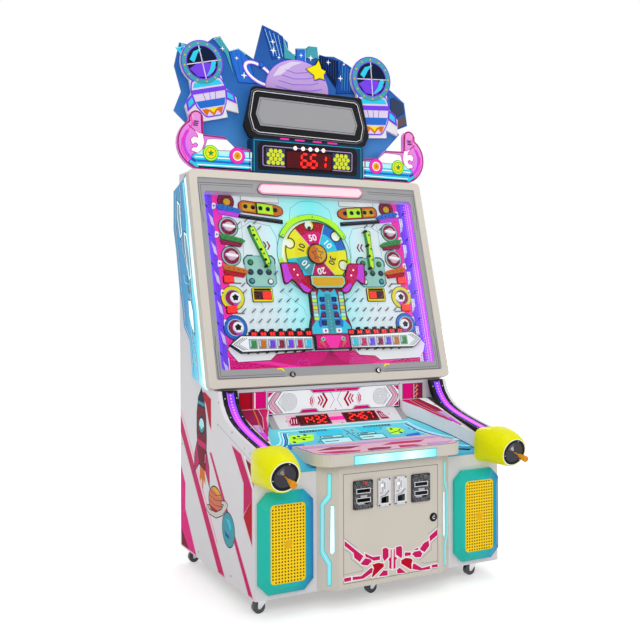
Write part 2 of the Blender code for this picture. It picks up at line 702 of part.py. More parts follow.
def make_rear_speaker_panel():
    t = REAR_PANEL_THICK
    foot = (deck_z(SCORE_FRONT_Y) + GAP)
    rise = (SCORE_TOP_Z - foot) / (REAR_PANEL_Y - SCORE_FRONT_Y)
    behind = SCORE_FRONT_Y + t / (rise - DECK_SLOPE)
    profile = [(SCORE_FRONT_Y, foot), (REAR_PANEL_Y, SCORE_TOP_Z),
               (REAR_PANEL_Y, REAR_PANEL_TOP_Z), (REAR_PANEL_Y + t, REAR_PANEL_TOP_Z),
               (REAR_PANEL_Y + t, SCORE_TOP_Z - t * 0.5), (behind, deck_z(behind) + GAP)]
    bent = plate("rear_speaker_panel", [profile], SIDE_VIEW, -SCORE_HALF_WIDTH, SCORE_HALF_WIDTH)
    upper = box("upper", (-INNER_X, REAR_PANEL_Y,
                          deck_z(DECK_BACK_Y) + LEDGE_HEIGHT + GAP),
                (INNER_X, REAR_PANEL_Y + t, REAR_PANEL_TOP_Z))
    place(join(bent, upper), WHITE)


# ---------------------------------------------------------------- display
def make_display():
    length = DISPLAY_LENGTH
    hinge = make_empty("display_hinge",
                       Matrix.Translation(DISPLAY_ORIGIN + UP * length)
                       @ Matrix.Rotation(pi / 2 - LEAN, 4, "X"))
    view = Matrix.Translation((0, -length, 0))
    frame_outer = rounded(rectangle(FRAME_HALF_WIDTH, 0, length), FRAME_CORNER, 6)
    frame_inner = rounded(rectangle(FRAME_HALF_WIDTH - FRAME_BAND, FRAME_BAND,
                                    length - FRAME_BAND), FRAME_INNER_CORNER, 3)
    place(plate("display_frame", [frame_outer, frame_inner], view, -FRAME_THICK, 0), BEIGE, hinge)

    bezel_outer = rounded(rectangle(FRAME_HALF_WIDTH - FRAME_BAND - GAP, FRAME_BAND + GAP,
                                    length - FRAME_BAND - GAP), FRAME_INNER_CORNER, 3)
    window = rounded(rectangle(WINDOW_HALF_WIDTH, WINDOW_BOTTOM, WINDOW_TOP), WINDOW_CORNER, 5)
    place(plate("display_bezel", [bezel_outer, window], view,
                -BEZEL_RECESS - BEZEL_THICK, -BEZEL_RECESS), GREY, hinge)

    glass_front = -BEZEL_RECESS - BEZEL_THICK - GAP
    glass = rectangle(WINDOW_HALF_WIDTH + GLASS_MARGIN, WINDOW_BOTTOM - GLASS_MARGIN,
                      WINDOW_TOP + GLASS_MARGIN)
    place(plate("display_glass", [glass], view, glass_front - GLASS_THICK, glass_front),
          GLASS, hinge)

    board_outline = rectangle(INNER_X, 0.020, length - 0.040)
    shaft_hole = arc(WHEEL_CENTRE, SHAFT_RADIUS + 0.001, 0, 345, 23)
    place(plate("playfield_board", [board_outline, shaft_hole], DISPLAY_VIEW,
                -BOARD_FACE - BOARD_THICK, -BOARD_FACE), CYAN)

    box_front = glass_front - GLASS_THICK - 0.001
    inner = 0.003
    outer = inner + BOX_WALL
    ring_inner = rectangle(WINDOW_HALF_WIDTH + inner, WINDOW_BOTTOM - inner, WINDOW_TOP + inner)
    ring_outer = rectangle(WINDOW_HALF_WIDTH + outer, WINDOW_BOTTOM - outer, WINDOW_TOP + outer)
    place(plate("playfield_box", [ring_outer, ring_inner], DISPLAY_VIEW,
                -BOARD_FACE + GAP, box_front), WHITE)


def make_prize_wheel():
    """The notched wheel with its shaft, which runs through the board into the motor."""
    x, up = WHEEL_CENTRE
    axis = make_empty("wheel_axis", Matrix.Translation(DISPLAY_ORIGIN + UP * up + Vector((x, 0, 0)))
                      @ Matrix.Rotation(pi / 2 - LEAN, 4, "X"))
    rim = []
    pitch = 360 / WHEEL_NOTCHES
    full, d, r = WHEEL_RADIUS, WHEEL_NOTCH_CENTRE, WHEEL_NOTCH_RADIUS
    half_notch = degrees(acos((full ** 2 + d ** 2 - r ** 2) / (2 * full * d)))
    mouth = degrees(acos((full ** 2 - d ** 2 - r ** 2) / (2 * d * r)))
    for index in range(WHEEL_NOTCHES):
        middle = WHEEL_FIRST_NOTCH + index * pitch
        notch = arc((0, 0), d, middle, middle, 1)[0]
        rim += arc((0, 0), full, middle - pitch + half_notch, middle - half_notch, 9)
        rim += arc(notch, r, middle - mouth, middle - 360 + mouth, 10)[1:-1]
    back = -BOARD_FACE + WHEEL_BACK_GAP
    face = back + WHEEL_THICK
    board_back = -BOARD_FACE - BOARD_THICK
    wheel = plate("prize_wheel", [rim], Matrix.Identity(4), back, face)
    shaft = cylinder("shaft", SHAFT_RADIUS, (0, 0, back + WHEEL_THICK / 2),
                     (0, 0, board_back - SHAFT_REACH), 24)
    boss = cylinder("boss", BOSS_RADIUS, (0, 0, face - 0.001), (0, 0, face + BOSS_HEIGHT), 24)
    place(join(wheel, shaft, boss), YELLOW, axis)

    motor_front = board_back - GAP
    half = MOTOR_SIZE / 2
    flange = plate("wheel_motor", [rounded(centred_rectangle(half, half), 0.008, 2)],
                   Matrix.Identity(4), motor_front - MOTOR_FLANGE, motor_front)
    can = cylinder("can", half * 0.8, (0, 0, motor_front - MOTOR_FLANGE / 2),
                   (0, 0, motor_front - MOTOR_DEPTH), 24)
    bore = cylinder("bore", SHAFT_RADIUS + GAP, (0, 0, motor_front + 0.01),
                    (0, 0, board_back - SHAFT_REACH - 0.002), 24)
    place(cut(join(flange, can), bore), BLACK, axis)


# ---------------------------------------------------------------- lights and marquee
def side_light_outline():
    """Zigzag rear edge and straight front edge of a side light plate, in (y, z)."""
    low_z, high_z = 0.948, 2.022
    return [(frame_back_y(low_z) + GAP * 2, low_z), (0.701, 0.995), (0.743, 1.175),
            (0.831, 1.245), (0.861, 1.363), (0.891, 1.418), (0.951, 1.644), (0.993, 1.756),
            (0.990, 1.956), (0.833, 2.000), (frame_back_y(high_z) + 0.012, high_z),
            (frame_back_y(high_z) + GAP * 2, high_z)]


def wing_outline():
    """The right wing in (x, z): machine body, rounded outer end and upright pipe."""
    end = (0.613, 2.181)
    return ([(0.346, MARQUEE_FLOOR), (0.600, MARQUEE_FLOOR)]
            + arc(end, end[1] - MARQUEE_FLOOR, -84, 58, 12)
            + [(0.681, 2.312)]
            + arc((0.644, 2.312), 0.037, 0, 180, 8)
            + [(0.607, 2.229), (0.488, 2.225), (0.447, 2.181), (0.346, 2.170)])


SKYLINE = ((-0.600, MARQUEE_FLOOR), (0.530, MARQUEE_FLOOR), (0.532, 2.245), (0.621, 2.337),
           (0.600, 2.362), (0.677, 2.393), (0.656, 2.525), (0.560, 2.590), (0.336, 2.693),
           (0.280, 2.691), (0.247, 2.721), (0.191, 2.739), (0.088, 2.731), (0.088, 2.774),
           (0.014, 2.764), (-0.044, 2.757), (-0.044, 2.719), (-0.091, 2.737), (-0.096, 2.783),
           (-0.153, 2.827), (-0.244, 2.856), (-0.295, 2.665), (-0.384, 2.714), (-0.438, 2.693),
           (-0.486, 2.764), (-0.529, 2.749), (-0.600, 2.690), (-0.709, 2.703), (-0.737, 2.582),
           (-0.700, 2.454), (-0.741, 2.352), (-0.680, 2.296), (-0.600, 2.240))


def pod_outline(centre, radius, lean):
    """A generic space pod: round canopy, tapering hull, two fins and a nozzle."""
    r = radius
    hull = ([(0.62 * r, -2.55 * r), (0.62 * r, -2.20 * r), (1.20 * r, -2.45 * r),
             (1.25 * r, -1.75 * r), (0.80 * r, -1.20 * r)]
            + arc((0, 0), r, -40, 220, 20)
            + [(-0.80 * r, -1.20 * r), (-1.25 * r, -1.75 * r), (-1.20 * r, -2.45 * r),
               (-0.62 * r, -2.20 * r), (-0.62 * r, -2.55 * r)])
    turn = Matrix.Rotation(radians(lean), 2)
    return [tuple(turn @ Vector(point) + Vector(centre)) for point in hull]


def make_side_lights():
    for side, word in ((-1, "left"), (1, "right")):
        low, high = sorted((side * (HALF + GAP), side * (HALF + GAP + LIGHT_PLATE_THICK)))
        place(plate(f"side_light_{word}", [side_light_outline()], SIDE_VIEW, low, high), CYAN)


def make_marquee():
    front = -MARQUEE_Y
    box_outline = rounded(rectangle(MARQUEE_BOX_HALF, MARQUEE_FLOOR, MARQUEE_BOX_TOP), 0.018, 4)
    place(plate("marquee_box", [box_outline], FRONT_VIEW, -MARQUEE_BACK_Y, front), NAVY)
    for side, word in ((-1, "left"), (1, "right")):
        place(plate(f"marquee_wing_{word}", [mirrored(wing_outline(), side)], FRONT_VIEW,
                    front - WING_THICK, front), PINK)
    title_low = MARQUEE_BOX_TOP + GAP
    title_outline = rounded([(-TITLE_HALF + 0.03, title_low), (TITLE_HALF - 0.03, title_low),
                             (TITLE_HALF, title_low + 0.06), (TITLE_HALF - 0.05, TITLE_TOP),
                             (-TITLE_HALF + 0.05, TITLE_TOP), (-TITLE_HALF, title_low + 0.06)],
                            0.020, 4)
    place(plate("title_plate", [title_outline], FRONT_VIEW,
                front - TITLE_THICK - 0.003, front - 0.003), BLACK)
    board_front = -(MARQUEE_BACK_Y + GAP)
    place(plate("skyline_board", [list(SKYLINE)], FRONT_VIEW,
                board_front - SKYLINE_THICK, board_front), CYAN)
    pods = (("left", (-0.596, 2.608), 0.116, 14), ("right", (0.419, 2.632), 0.130, 4))
    for word, centre, radius, lean in pods:
        place(plate(f"space_pod_{word}", [pod_outline(centre, radius, lean)], FRONT_VIEW,
                    board_front + GAP, board_front + GAP + POD_THICK), WHITE)


# ---------------------------------------------------------------- plungers
def housing_ring(y, z, x, half_width, half_height, power, tilt, sides=32):
    """One section of the nose: a rounded square or circle, tipped forward by tilt."""
    ring = []
    for step in range(sides):
        angle = 2 * pi * step / sides
        c, s = cos(angle), sin(angle)
        reach_x = half_width * abs(c) ** (2 / power) * (1 if c >= 0 else -1)
        reach_z = half_height * abs(s) ** (2 / power) * (1 if s >= 0 else -1)
        ring.append(Vector((x + reach_x, y - reach_z * sin(tilt), z + reach_z * cos(tilt))))
    return ring


def make_plungers():
    for side, word in ((-1, "left"), (1, "right")):
        sections = []
        for behind, dx, dz, wider, taller, power, share in HOUSING_SECTIONS:
            y = min(PLUNGER_Y + behind * (1 if share < 1 else cos(PLUNGER_TILT)), -GAP)
            x = side * (PLUNGER_X + dx)
            sections.append((y, PLUNGER_Z + dz, x, DISC_RADIUS + wider, DISC_RADIUS + taller,
                             power, share * PLUNGER_TILT))
        outer = [housing_ring(*section) for section in sections]
        wall = HOUSING_WALL
        inner = [housing_ring(y, z, x, half_x - wall, half_z - wall, power, tilt)
                 for y, z, x, half_x, half_z, power, tilt in sections[:-3]]
        seat = DISC_RADIUS + GAP
        disc_back = DISC_RECESS + DISC_THICK + 0.001
        lips = [housing_ring(PLUNGER_Y + behind * cos(PLUNGER_TILT),
                             PLUNGER_Z + behind * sin(PLUNGER_TILT),
                             side * PLUNGER_X, radius, radius, 2, PLUNGER_TILT)
                for behind, radius in ((0, seat), (disc_back, seat),
                                       (disc_back, seat - 0.004), (disc_back + 0.006, seat - 0.002))]
        housing = loft(f"plunger_housing_{word}", outer + lips + inner[::-1])
        place(smooth(housing), YELLOW)

        facing = Matrix.Rotation(pi / 2 + PLUNGER_TILT, 4, "X")
        axis = make_empty(f"plunger_axis_{word}",
                          Matrix.Translation((side * PLUNGER_X, PLUNGER_Y, PLUNGER_Z)) @ facing)
        bore = ROD_RADIUS + GAP
        disc = turned(f"plunger_plate_{word}",
                      [(bore, -DISC_RECESS), (0.012, -DISC_RECESS), (0.016, -DISC_RECESS - 0.002),
                       (0.044, -DISC_RECESS - 0.002), (0.050, -DISC_RECESS),
                       (DISC_RADIUS, -DISC_RECESS), (DISC_RADIUS, -DISC_RECESS - DISC_THICK),
                       (bore, -DISC_RECESS - DISC_THICK), (bore, -DISC_RECESS)])
        place(smooth(disc), BLACK, axis)
        r = ROD_RADIUS
        low, high = KNOB_RADII
        washer, washer_front, washer_back = STOP_WASHER
        rod = turned(f"plunger_{word}",
                     [(0, KNOB_END), (KNOB_FACE_RADIUS, KNOB_END), (high, KNOB_END - KNOB_CHAMFER),
                      (high, KNOB_END - 0.010), (low, KNOB_START + 0.001), (low - 0.001, KNOB_START),
                      (r, KNOB_START), (r, -washer_front), (washer, -washer_front),
                      (washer, -washer_back), (r, -washer_back), (r, -ROD_REACH), (0, -ROD_REACH)],
                     24)
        place(smooth(rod), ORANGE, axis)


# ---------------------------------------------------------------- casters
def make_casters():
    flat_height = CASTER_WHEEL_RADIUS * cos(pi / CASTER_WHEEL_SIDES)
    half = CASTER_WHEEL_WIDTH / 2
    places = (("front_left", -CASTER_X, CASTER_FRONT_Y), ("front_middle", 0, CASTER_FRONT_Y),
              ("front_right", CASTER_X, CASTER_FRONT_Y), ("rear_left", -CASTER_X, CASTER_REAR_Y),
              ("rear_right", CASTER_X, CASTER_REAR_Y))
    top = CASTER_HEIGHT - GAP
    for word, x, y in places:
        swivel = make_empty(f"swivel_{word}", Matrix.Translation((x, y, 0)))
        fork = cylinder(f"caster_fork_{word}", 0.026, (0, 0, top), (0, 0, top - 0.006), 24)
        crown = box("crown", (-0.045, -half - 0.004, top - 0.009), (0.018, half + 0.004, top - 0.005))
        legs = [plate("leg", [[(-0.045, top - 0.0055), (-CASTER_TRAIL - 0.008, flat_height + 0.004),
                               (-CASTER_TRAIL - 0.006, flat_height - 0.008),
                               (-CASTER_TRAIL + 0.006, flat_height - 0.008), (0.010, top - 0.0055)]],
                      FRONT_VIEW, near, near + 0.003) for near in (half + 0.001, -half - 0.004)]
        axle = cylinder("axle", 0.004, (-CASTER_TRAIL, -half - 0.002, flat_height),
                        (-CASTER_TRAIL, half + 0.002, flat_height), 16)
        place(join(fork, crown, *legs, axle), METAL, swivel)
        bm = bmesh.new()
        bmesh.ops.create_cone(bm, cap_ends=True, segments=CASTER_WHEEL_SIDES,
                              radius1=CASTER_WHEEL_RADIUS, radius2=CASTER_WHEEL_RADIUS,
                              depth=CASTER_WHEEL_WIDTH)
        half_side = Matrix.Rotation(pi / CASTER_WHEEL_SIDES, 4, "Z")
        bmesh.ops.transform(bm, matrix=Matrix.Rotation(pi / 2, 4, "X") @ half_side, verts=bm.verts)
        wheel = new_mesh_object(f"caster_wheel_{word}", bm)
        bore = cylinder("bore", 0.004 + GAP, (0, -half - 0.01, 0), (0, half + 0.01, 0), 16)
        spindle = make_empty(f"spindle_{word}",
                             Matrix.Translation((x - CASTER_TRAIL, y, flat_height)))
        place(cut(wheel, bore), RUBBER, spindle)


make_cabinet()
make_columns()
make_speakers()
make_console()
make_coin_door()
make_deck()
make_rear_speaker_panel()
make_display()
make_prize_wheel()
make_side_lights()
make_marquee()
make_plungers()
make_casters()
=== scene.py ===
import json
from math import acos, atan2, cos, degrees, hypot, pi, radians, sin, sqrt
import bpy
from mathutils import Matrix, Vector
from mathutils.geometry import tessellate_polygon

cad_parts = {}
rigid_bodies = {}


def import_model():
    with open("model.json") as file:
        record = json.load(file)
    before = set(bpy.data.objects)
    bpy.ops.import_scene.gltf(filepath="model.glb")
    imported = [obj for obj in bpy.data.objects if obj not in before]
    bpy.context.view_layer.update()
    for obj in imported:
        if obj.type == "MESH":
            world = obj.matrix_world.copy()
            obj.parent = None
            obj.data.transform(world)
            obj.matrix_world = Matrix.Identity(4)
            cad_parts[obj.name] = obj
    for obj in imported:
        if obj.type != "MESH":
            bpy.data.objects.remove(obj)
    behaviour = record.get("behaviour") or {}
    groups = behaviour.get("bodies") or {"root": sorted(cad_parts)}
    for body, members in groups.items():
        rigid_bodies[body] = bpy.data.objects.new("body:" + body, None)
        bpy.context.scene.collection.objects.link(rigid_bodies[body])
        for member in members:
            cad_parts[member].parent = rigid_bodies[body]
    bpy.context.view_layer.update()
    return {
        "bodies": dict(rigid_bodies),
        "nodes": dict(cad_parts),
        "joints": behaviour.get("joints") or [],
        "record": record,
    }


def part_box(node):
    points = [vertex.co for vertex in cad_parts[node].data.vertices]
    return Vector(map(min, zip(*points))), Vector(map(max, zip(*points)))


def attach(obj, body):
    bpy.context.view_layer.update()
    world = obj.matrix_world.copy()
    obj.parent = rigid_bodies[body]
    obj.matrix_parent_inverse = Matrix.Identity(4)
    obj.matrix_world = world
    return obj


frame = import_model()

nodes = frame["nodes"]
joints = {joint["name"]: joint for joint in frame["joints"]}
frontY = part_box("column_front_left")[0].y    # front plane of the speaker columns; y below is counted from it
leftRight = ((-1, "left"), (1, "right"))
print("frame loaded")


# an outline's points from millimetres, across then up, in turn
def mm(*sizes):
    return [(across / 1000, up / 1000) for across, up in zip(sizes[::2], sizes[1::2])]


# ---- camera, lights and floor
camera = {"place": (-2.158, -3.499, 1.393), "yaw": 27.475, "pitch": -0.2588, "roll": -0.2068,
          "lens": 49.47, "shiftY": -0.0294}


def makeCamera(s):
    yaw, pitch, roll = radians(s["yaw"]), radians(s["pitch"]), radians(s["roll"])
    ahead = Vector((sin(yaw) * cos(pitch), cos(yaw) * cos(pitch), sin(pitch)))
    right = Vector((cos(yaw), -sin(yaw), 0))
    up = right.cross(ahead)
    right, up = right * cos(roll) + up * sin(roll), up * cos(roll) - right * sin(roll)
    data = bpy.data.cameras.new("camera")
    data.lens = s["lens"]
    data.sensor_width = 36
    data.shift_y = s["shiftY"]
    made = bpy.data.objects.new("camera", data)
    bpy.context.scene.collection.objects.link(made)
    turn = Matrix((right, up, -ahead)).transposed().to_4x4()
    made.matrix_world = Matrix.Translation(Vector(s["place"]) + Vector((0, frontY, 0))) @ turn
    bpy.context.scene.camera = made


lamps = {"key": {"at": (-3.2, -4.6, 3.6), "to": (0, 0, 1.2), "size": 3.0, "power": 82},
         "fill": {"at": (3.8, -3.4, 2.4), "to": (0, 0, 1.2), "size": 3.0, "power": 34},
         "top": {"at": (0, -0.6, 5.2), "to": (0, 0, 1.0), "size": 2.5, "power": 45},
         "rear": {"at": (1.5, 4.2, 3.0), "to": (0, 0, 1.4), "size": 2.5, "power": 60}}
air = {"light": 0.54, "shown": 1.0}


def makeLights():
    for name, s in lamps.items():
        data = bpy.data.lights.new(name, "AREA")
        data.shape = "DISK"
        data.size = s["size"]
        data.energy = s["power"]
        made = bpy.data.objects.new(name, data)
        made.location = s["at"]
        made.rotation_euler = (Vector(s["to"]) - Vector(s["at"])).to_track_quat("-Z", "Y").to_euler()
        bpy.context.scene.collection.objects.link(made)


# 1 where the eye, a reflection or clear glass looks straight at it.
def shownWhite(tree):
    path = tree.nodes.new("ShaderNodeLightPath")
    total = path.outputs["Is Camera Ray"]
    for name in ("Is Glossy Ray", "Is Transmission Ray"):
        add = tree.nodes.new("ShaderNodeMath")
        add.operation = "MAXIMUM"
        tree.links.new(total, add.inputs[0])
        tree.links.new(path.outputs[name], add.inputs[1])
        total = add.outputs[0]
    return total


def makeAir(s):
    world = bpy.data.worlds.new("air")
    world.use_nodes = True
    tree = world.node_tree
    tree.nodes.clear()
    light = tree.nodes.new("ShaderNodeBackground")
    light.inputs["Strength"].default_value = s["light"]
    shown = tree.nodes.new("ShaderNodeBackground")
    shown.inputs["Strength"].default_value = s["shown"]
    mix = tree.nodes.new("ShaderNodeMixShader")
    end = tree.nodes.new("ShaderNodeOutputWorld")
    for node in (light, shown):
        node.inputs["Color"].default_value = (1, 1, 1, 1)
    tree.links.new(shownWhite(tree), mix.inputs[0])
    tree.links.new(light.outputs[0], mix.inputs[1])
    tree.links.new(shown.outputs[0], mix.inputs[2])
    tree.links.new(mix.outputs[0], end.inputs[0])
    bpy.context.scene.world = world


floor = {"half": 30.0, "shade": 0.86, "glow": 0.42, "near": 1.2, "far": 5.0}


def makeFloor(s):
    mesh = bpy.data.meshes.new("floor")
    h = s["half"]
    mesh.from_pydata([(-h, -h, 0), (h, -h, 0), (h, h, 0), (-h, h, 0)], [], [(0, 1, 2, 3)])
    made = bpy.data.objects.new("floor", mesh)
    bpy.context.scene.collection.objects.link(made)
    paint = bpy.data.materials.new("floorWhite")
    paint.use_nodes = True
    tree = paint.node_tree
    shader = tree.nodes["Principled BSDF"]
    shader.inputs["Base Color"].default_value = (s["shade"],) * 3 + (1,)
    shader.inputs["Roughness"].default_value = 0.6
    shader.inputs["Specular IOR Level"].default_value = 0.2
    shader.inputs["Emission Color"].default_value = (1, 1, 1, 1)
    # the glow rises with distance, so the far floor joins the white background
    spot = tree.nodes.new("ShaderNodeTexCoord")
    reach = tree.nodes.new("ShaderNodeVectorMath")
    reach.operation = "LENGTH"
    tree.links.new(spot.outputs["Object"], reach.inputs[0])
    spread = tree.nodes.new("ShaderNodeMapRange")
    spread.interpolation_type = "SMOOTHSTEP"
    for i, value in ((1, s["near"]), (2, s["far"]), (3, s["glow"]), (4, 1.0)):
        spread.inputs[i].default_value = value
    tree.links.new(reach.outputs["Value"], spread.inputs[0])
    scaled = tree.nodes.new("ShaderNodeMath")
    scaled.operation = "MULTIPLY"
    tree.links.new(shownWhite(tree), scaled.inputs[0])
    tree.links.new(spread.outputs[0], scaled.inputs[1])
    tree.links.new(scaled.outputs[0], shader.inputs["Emission Strength"])
    mesh.materials.append(paint)


scene = bpy.context.scene
scene.view_settings.view_transform = "Standard"
makeCamera(camera)
makeLights()
makeAir(air)
makeFloor(floor)
print("camera, lights and floor")


# ---- finishes
# Linear colour of a hex code.
def tint(code):
    parts = [int(code[i:i + 2], 16) / 255 for i in (1, 3, 5)]
    return tuple(p / 12.92 if p <= 0.04045 else ((p + 0.055) / 1.055) ** 2.4 for p in parts) + (1,)


def newGroup(name, inputs, outputs):
    group = bpy.data.node_groups.new(name, "ShaderNodeTree")
    for label, kind, value in inputs:
        socket = group.interface.new_socket(label, in_out="INPUT", socket_type=kind)
        socket.default_value = value
    for label, kind in outputs:
        group.interface.new_socket(label, in_out="OUTPUT", socket_type=kind)
    return group, group.nodes.new("NodeGroupInput"), group.nodes.new("NodeGroupOutput")


def link(tree, source, target):
    tree.links.new(source, target)


def mathNode(tree, operation, first, second):
    node = tree.nodes.new("ShaderNodeMath")
    node.operation = operation
    for socket, value in zip(node.inputs, (first, second)):
        if isinstance(value, (int, float)):
            socket.default_value = value
        else:
            link(tree, value, socket)
    return node.outputs[0]


def noiseNode(tree, vector, scale, detail=3.0):
    node = tree.nodes.new("ShaderNodeTexNoise")
    node.inputs["Detail"].default_value = detail
    link(tree, vector, node.inputs["Vector"])
    if isinstance(scale, (int, float)):
        node.inputs["Scale"].default_value = scale
    else:
        link(tree, scale, node.inputs["Scale"])
    return node.outputs["Fac"]


# Slow shade drift, fine grain and uneven gloss, stretched along one axis for brushed metal and wood.
def makeSurfaceGroup():
    colour = "NodeSocketColor"
    number = "NodeSocketFloat"
    group, given, out = newGroup(
        "unevenSurface",
        [("Colour", colour, (1, 1, 1, 1)), ("Drift", number, 0.04), ("Grain", number, 0.02),
         ("Grain Scale", number, 400.0), ("Roughness", number, 0.4), ("Gloss Change", number, 0.08),
         ("Stretch", "NodeSocketVector", (1, 1, 1))],
        [("Colour", colour), ("Roughness", number), ("Height", number)])
    place = group.nodes.new("ShaderNodeTexCoord").outputs["Object"]
    slow = noiseNode(group, place, 3.1, 2.0)
    smudge = noiseNode(group, place, 17.0, 4.0)
    scaled = group.nodes.new("ShaderNodeVectorMath")
    scaled.operation = "MULTIPLY"
    link(group, place, scaled.inputs[0])
    link(group, given.outputs["Stretch"], scaled.inputs[1])
    fine = noiseNode(group, scaled.outputs[0], given.outputs["Grain Scale"])
    shade = mathNode(group, "MULTIPLY", mathNode(group, "SUBTRACT", slow, 0.5), given.outputs["Drift"])
    grain = mathNode(group, "MULTIPLY", mathNode(group, "SUBTRACT", fine, 0.5), given.outputs["Grain"])
    value = mathNode(group, "ADD", mathNode(group, "ADD", shade, grain), 1.0)
    change = group.nodes.new("ShaderNodeHueSaturation")
    link(group, given.outputs["Colour"], change.inputs["Color"])
    link(group, value, change.inputs["Value"])
    link(group, change.outputs[0], out.inputs["Colour"])
    gloss = mathNode(group, "MULTIPLY", mathNode(group, "SUBTRACT", smudge, 0.5),
        given.outputs["Gloss Change"])
    link(group, mathNode(group, "ADD", given.outputs["Roughness"], gloss), out.inputs["Roughness"])
    link(group, fine, out.inputs["Height"])
    return group


surfaceGroup = makeSurfaceGroup()
finishes = {}


# One finish: base colour and gloss come from the shared surface group, with its own values.
def finish(name, code, rough=0.4, drift=0.05, grain=0.03, grainScale=500.0, gloss=0.08, bump=0.0,
           stretch=(1, 1, 1), metal=0.0, coat=0.0, glow=0.0, glowCode=None, level=0.12):
    made = bpy.data.materials.new(name)
    made.use_nodes = True
    tree = made.node_tree
    shader = tree.nodes["Principled BSDF"]
    surface = tree.nodes.new("ShaderNodeGroup")
    surface.node_tree = surfaceGroup
    given = {"Colour": tint(code), "Drift": drift * 2, "Grain": grain * 2, "Grain Scale": grainScale,
             "Roughness": rough, "Gloss Change": gloss * 2, "Stretch": stretch}
    for label, value in given.items():
        surface.inputs[label].default_value = value
    link(tree, surface.outputs["Colour"], shader.inputs["Base Color"])
    link(tree, surface.outputs["Roughness"], shader.inputs["Roughness"])
    shader.inputs["Metallic"].default_value = metal
    shader.inputs["Specular IOR Level"].default_value = 0.02 if name.startswith("ink") else level
    shader.inputs["Coat Weight"].default_value = coat
    shader.inputs["Coat Roughness"].default_value = 0.08
    if bump:
        node = tree.nodes.new("ShaderNodeBump")
        node.inputs["Strength"].default_value = 0.6
        node.inputs["Distance"].default_value = bump
        link(tree, surface.outputs["Height"], node.inputs["Height"])
        link(tree, node.outputs[0], shader.inputs["Normal"])
    # glow is emission: on the led*, lamp* and lit trim finishes it stands for lamps, on prints and plastics it
    # is painted light
    if glow:
        shader.inputs["Emission Strength"].default_value = glow
        if glowCode:
            shader.inputs["Emission Color"].default_value = tint(glowCode)
        else:
            link(tree, surface.outputs["Colour"], shader.inputs["Emission Color"])
    finishes[name] = made
    return made


# ---- places: a flat drawing's u, v and height off the surface, turned into the frame
def placeFrom(origin, across, up, out):
    made = Matrix.Identity(4)
    for column, axis in enumerate((across, up, out)):
        made.col[column] = (*axis, 0)
    made.col[3] = (*origin, 1)
    return made


# u = x, v = z on a plane that faces the player.
def frontPlace(y):
    return placeFrom((0, y, 0), (1, 0, 0), (0, 0, 1), (0, -1, 0))


# u = y from the columns' front, v = z, facing out of that side.
def sidePlace(x, side):
    return placeFrom((x, frontY, 0), (0, 1, 0), (0, 0, 1), (side, 0, 0))


# u = x, v = distance up the sloping display, height out of its front face.
def displayPlace():
    out = Vector(joints["prize_wheel_spin"]["axis"])
    out = out if out.y < 0 else -out
    up = Vector((0, out.z, -out.y))
    low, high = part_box("display_frame")
    lean = atan2(up.y, up.z)
    deep, tall = high.y - low.y, high.z - low.z
    thick = (deep * cos(lean) - tall * sin(lean)) / cos(2 * lean)
    length = (tall - thick * sin(lean)) / cos(lean)
    top = Vector((0, *joints["display_door_hinge"]["pos_m"][1:]))
    return placeFrom(top - up * length, (1, 0, 0), up, out), length


display, displayLength = displayPlace()


# ---- outlines
def arc(centre, radius, start, end, steps):
    return [(centre[0] + radius * cos(radians(start + (end - start) * i / steps)),
             centre[1] + radius * sin(radians(start + (end - start) * i / steps)))
            for i in range(steps + 1)]


def disc(centre, radius, steps=32):
    return arc(centre, radius, 0, 360 - 360 / steps, steps - 1)


def oval(centre, wide, tall, steps=32):
    return [(centre[0] + (x - centre[0]) * wide, centre[1] + (y - centre[1]) * tall)
            for x, y in disc(centre, 1, steps)]


def band(centre, inner, outer, start, end, steps=24):
    return arc(centre, outer, start, end, steps) + arc(centre, inner, end, start, steps)


def block(left, low, right, high):
    return [(left, low), (right, low), (right, high), (left, high)]


def shift(points, across, up):
    return [(x + across, y + up) for x, y in points]


def star(centre, outer, inner, spikes, start=90):
    made = []
    for i in range(spikes):
        for radius, turn in ((outer, 0), (inner, 180 / spikes)):
            angle = radians(start + i * 360 / spikes + turn)
            made.append((centre[0] + radius * cos(angle), centre[1] + radius * sin(angle)))
    return made


# Rounds every corner of a closed outline.
def soften(points, radius, steps=3):
    made = []
    count = len(points)
    for i, corner in enumerate(points):
        here = Vector(corner)
        before, after = Vector(points[i - 1]) - here, Vector(points[(i + 1) % count]) - here
        reach = min(radius, before.length * 0.45, after.length * 0.45)
        start, end = here + before.normalized() * reach, here + after.normalized() * reach
        for k in range(steps + 1):
            t = k / steps
            made.append(tuple(start * (1 - t) ** 2 + here * 2 * t * (1 - t) + end * t * t))
    return made


# Moves a closed outline inwards by depth.
def inset(points, depth):
    count = len(points)
    turning = sum(points[i - 1][0] * p[1] - p[0] * points[i - 1][1] for i, p in enumerate(points))
    side = 1 if turning > 0 else -1
    made = []
    for i, p in enumerate(points):
        a, b, c = Vector(points[i - 1]), Vector(p), Vector(points[(i + 1) % count])
        first, second = (b - a), (c - b)
        if first.length < 1e-7 or second.length < 1e-7:
            made.append(tuple(b))
            continue
        first.normalize()
        second.normalize()
        n1, n2 = Vector((-first.y, first.x)), Vector((-second.y, second.x))
        both = n1 + n2
        if both.length < 1e-6:
            made.append(tuple(b))
            continue
        both.normalize()
        reach = min(1 / max(both.dot(n1), 0.3), 2.5)
        made.append(tuple(b + both * side * depth * reach))
    return made


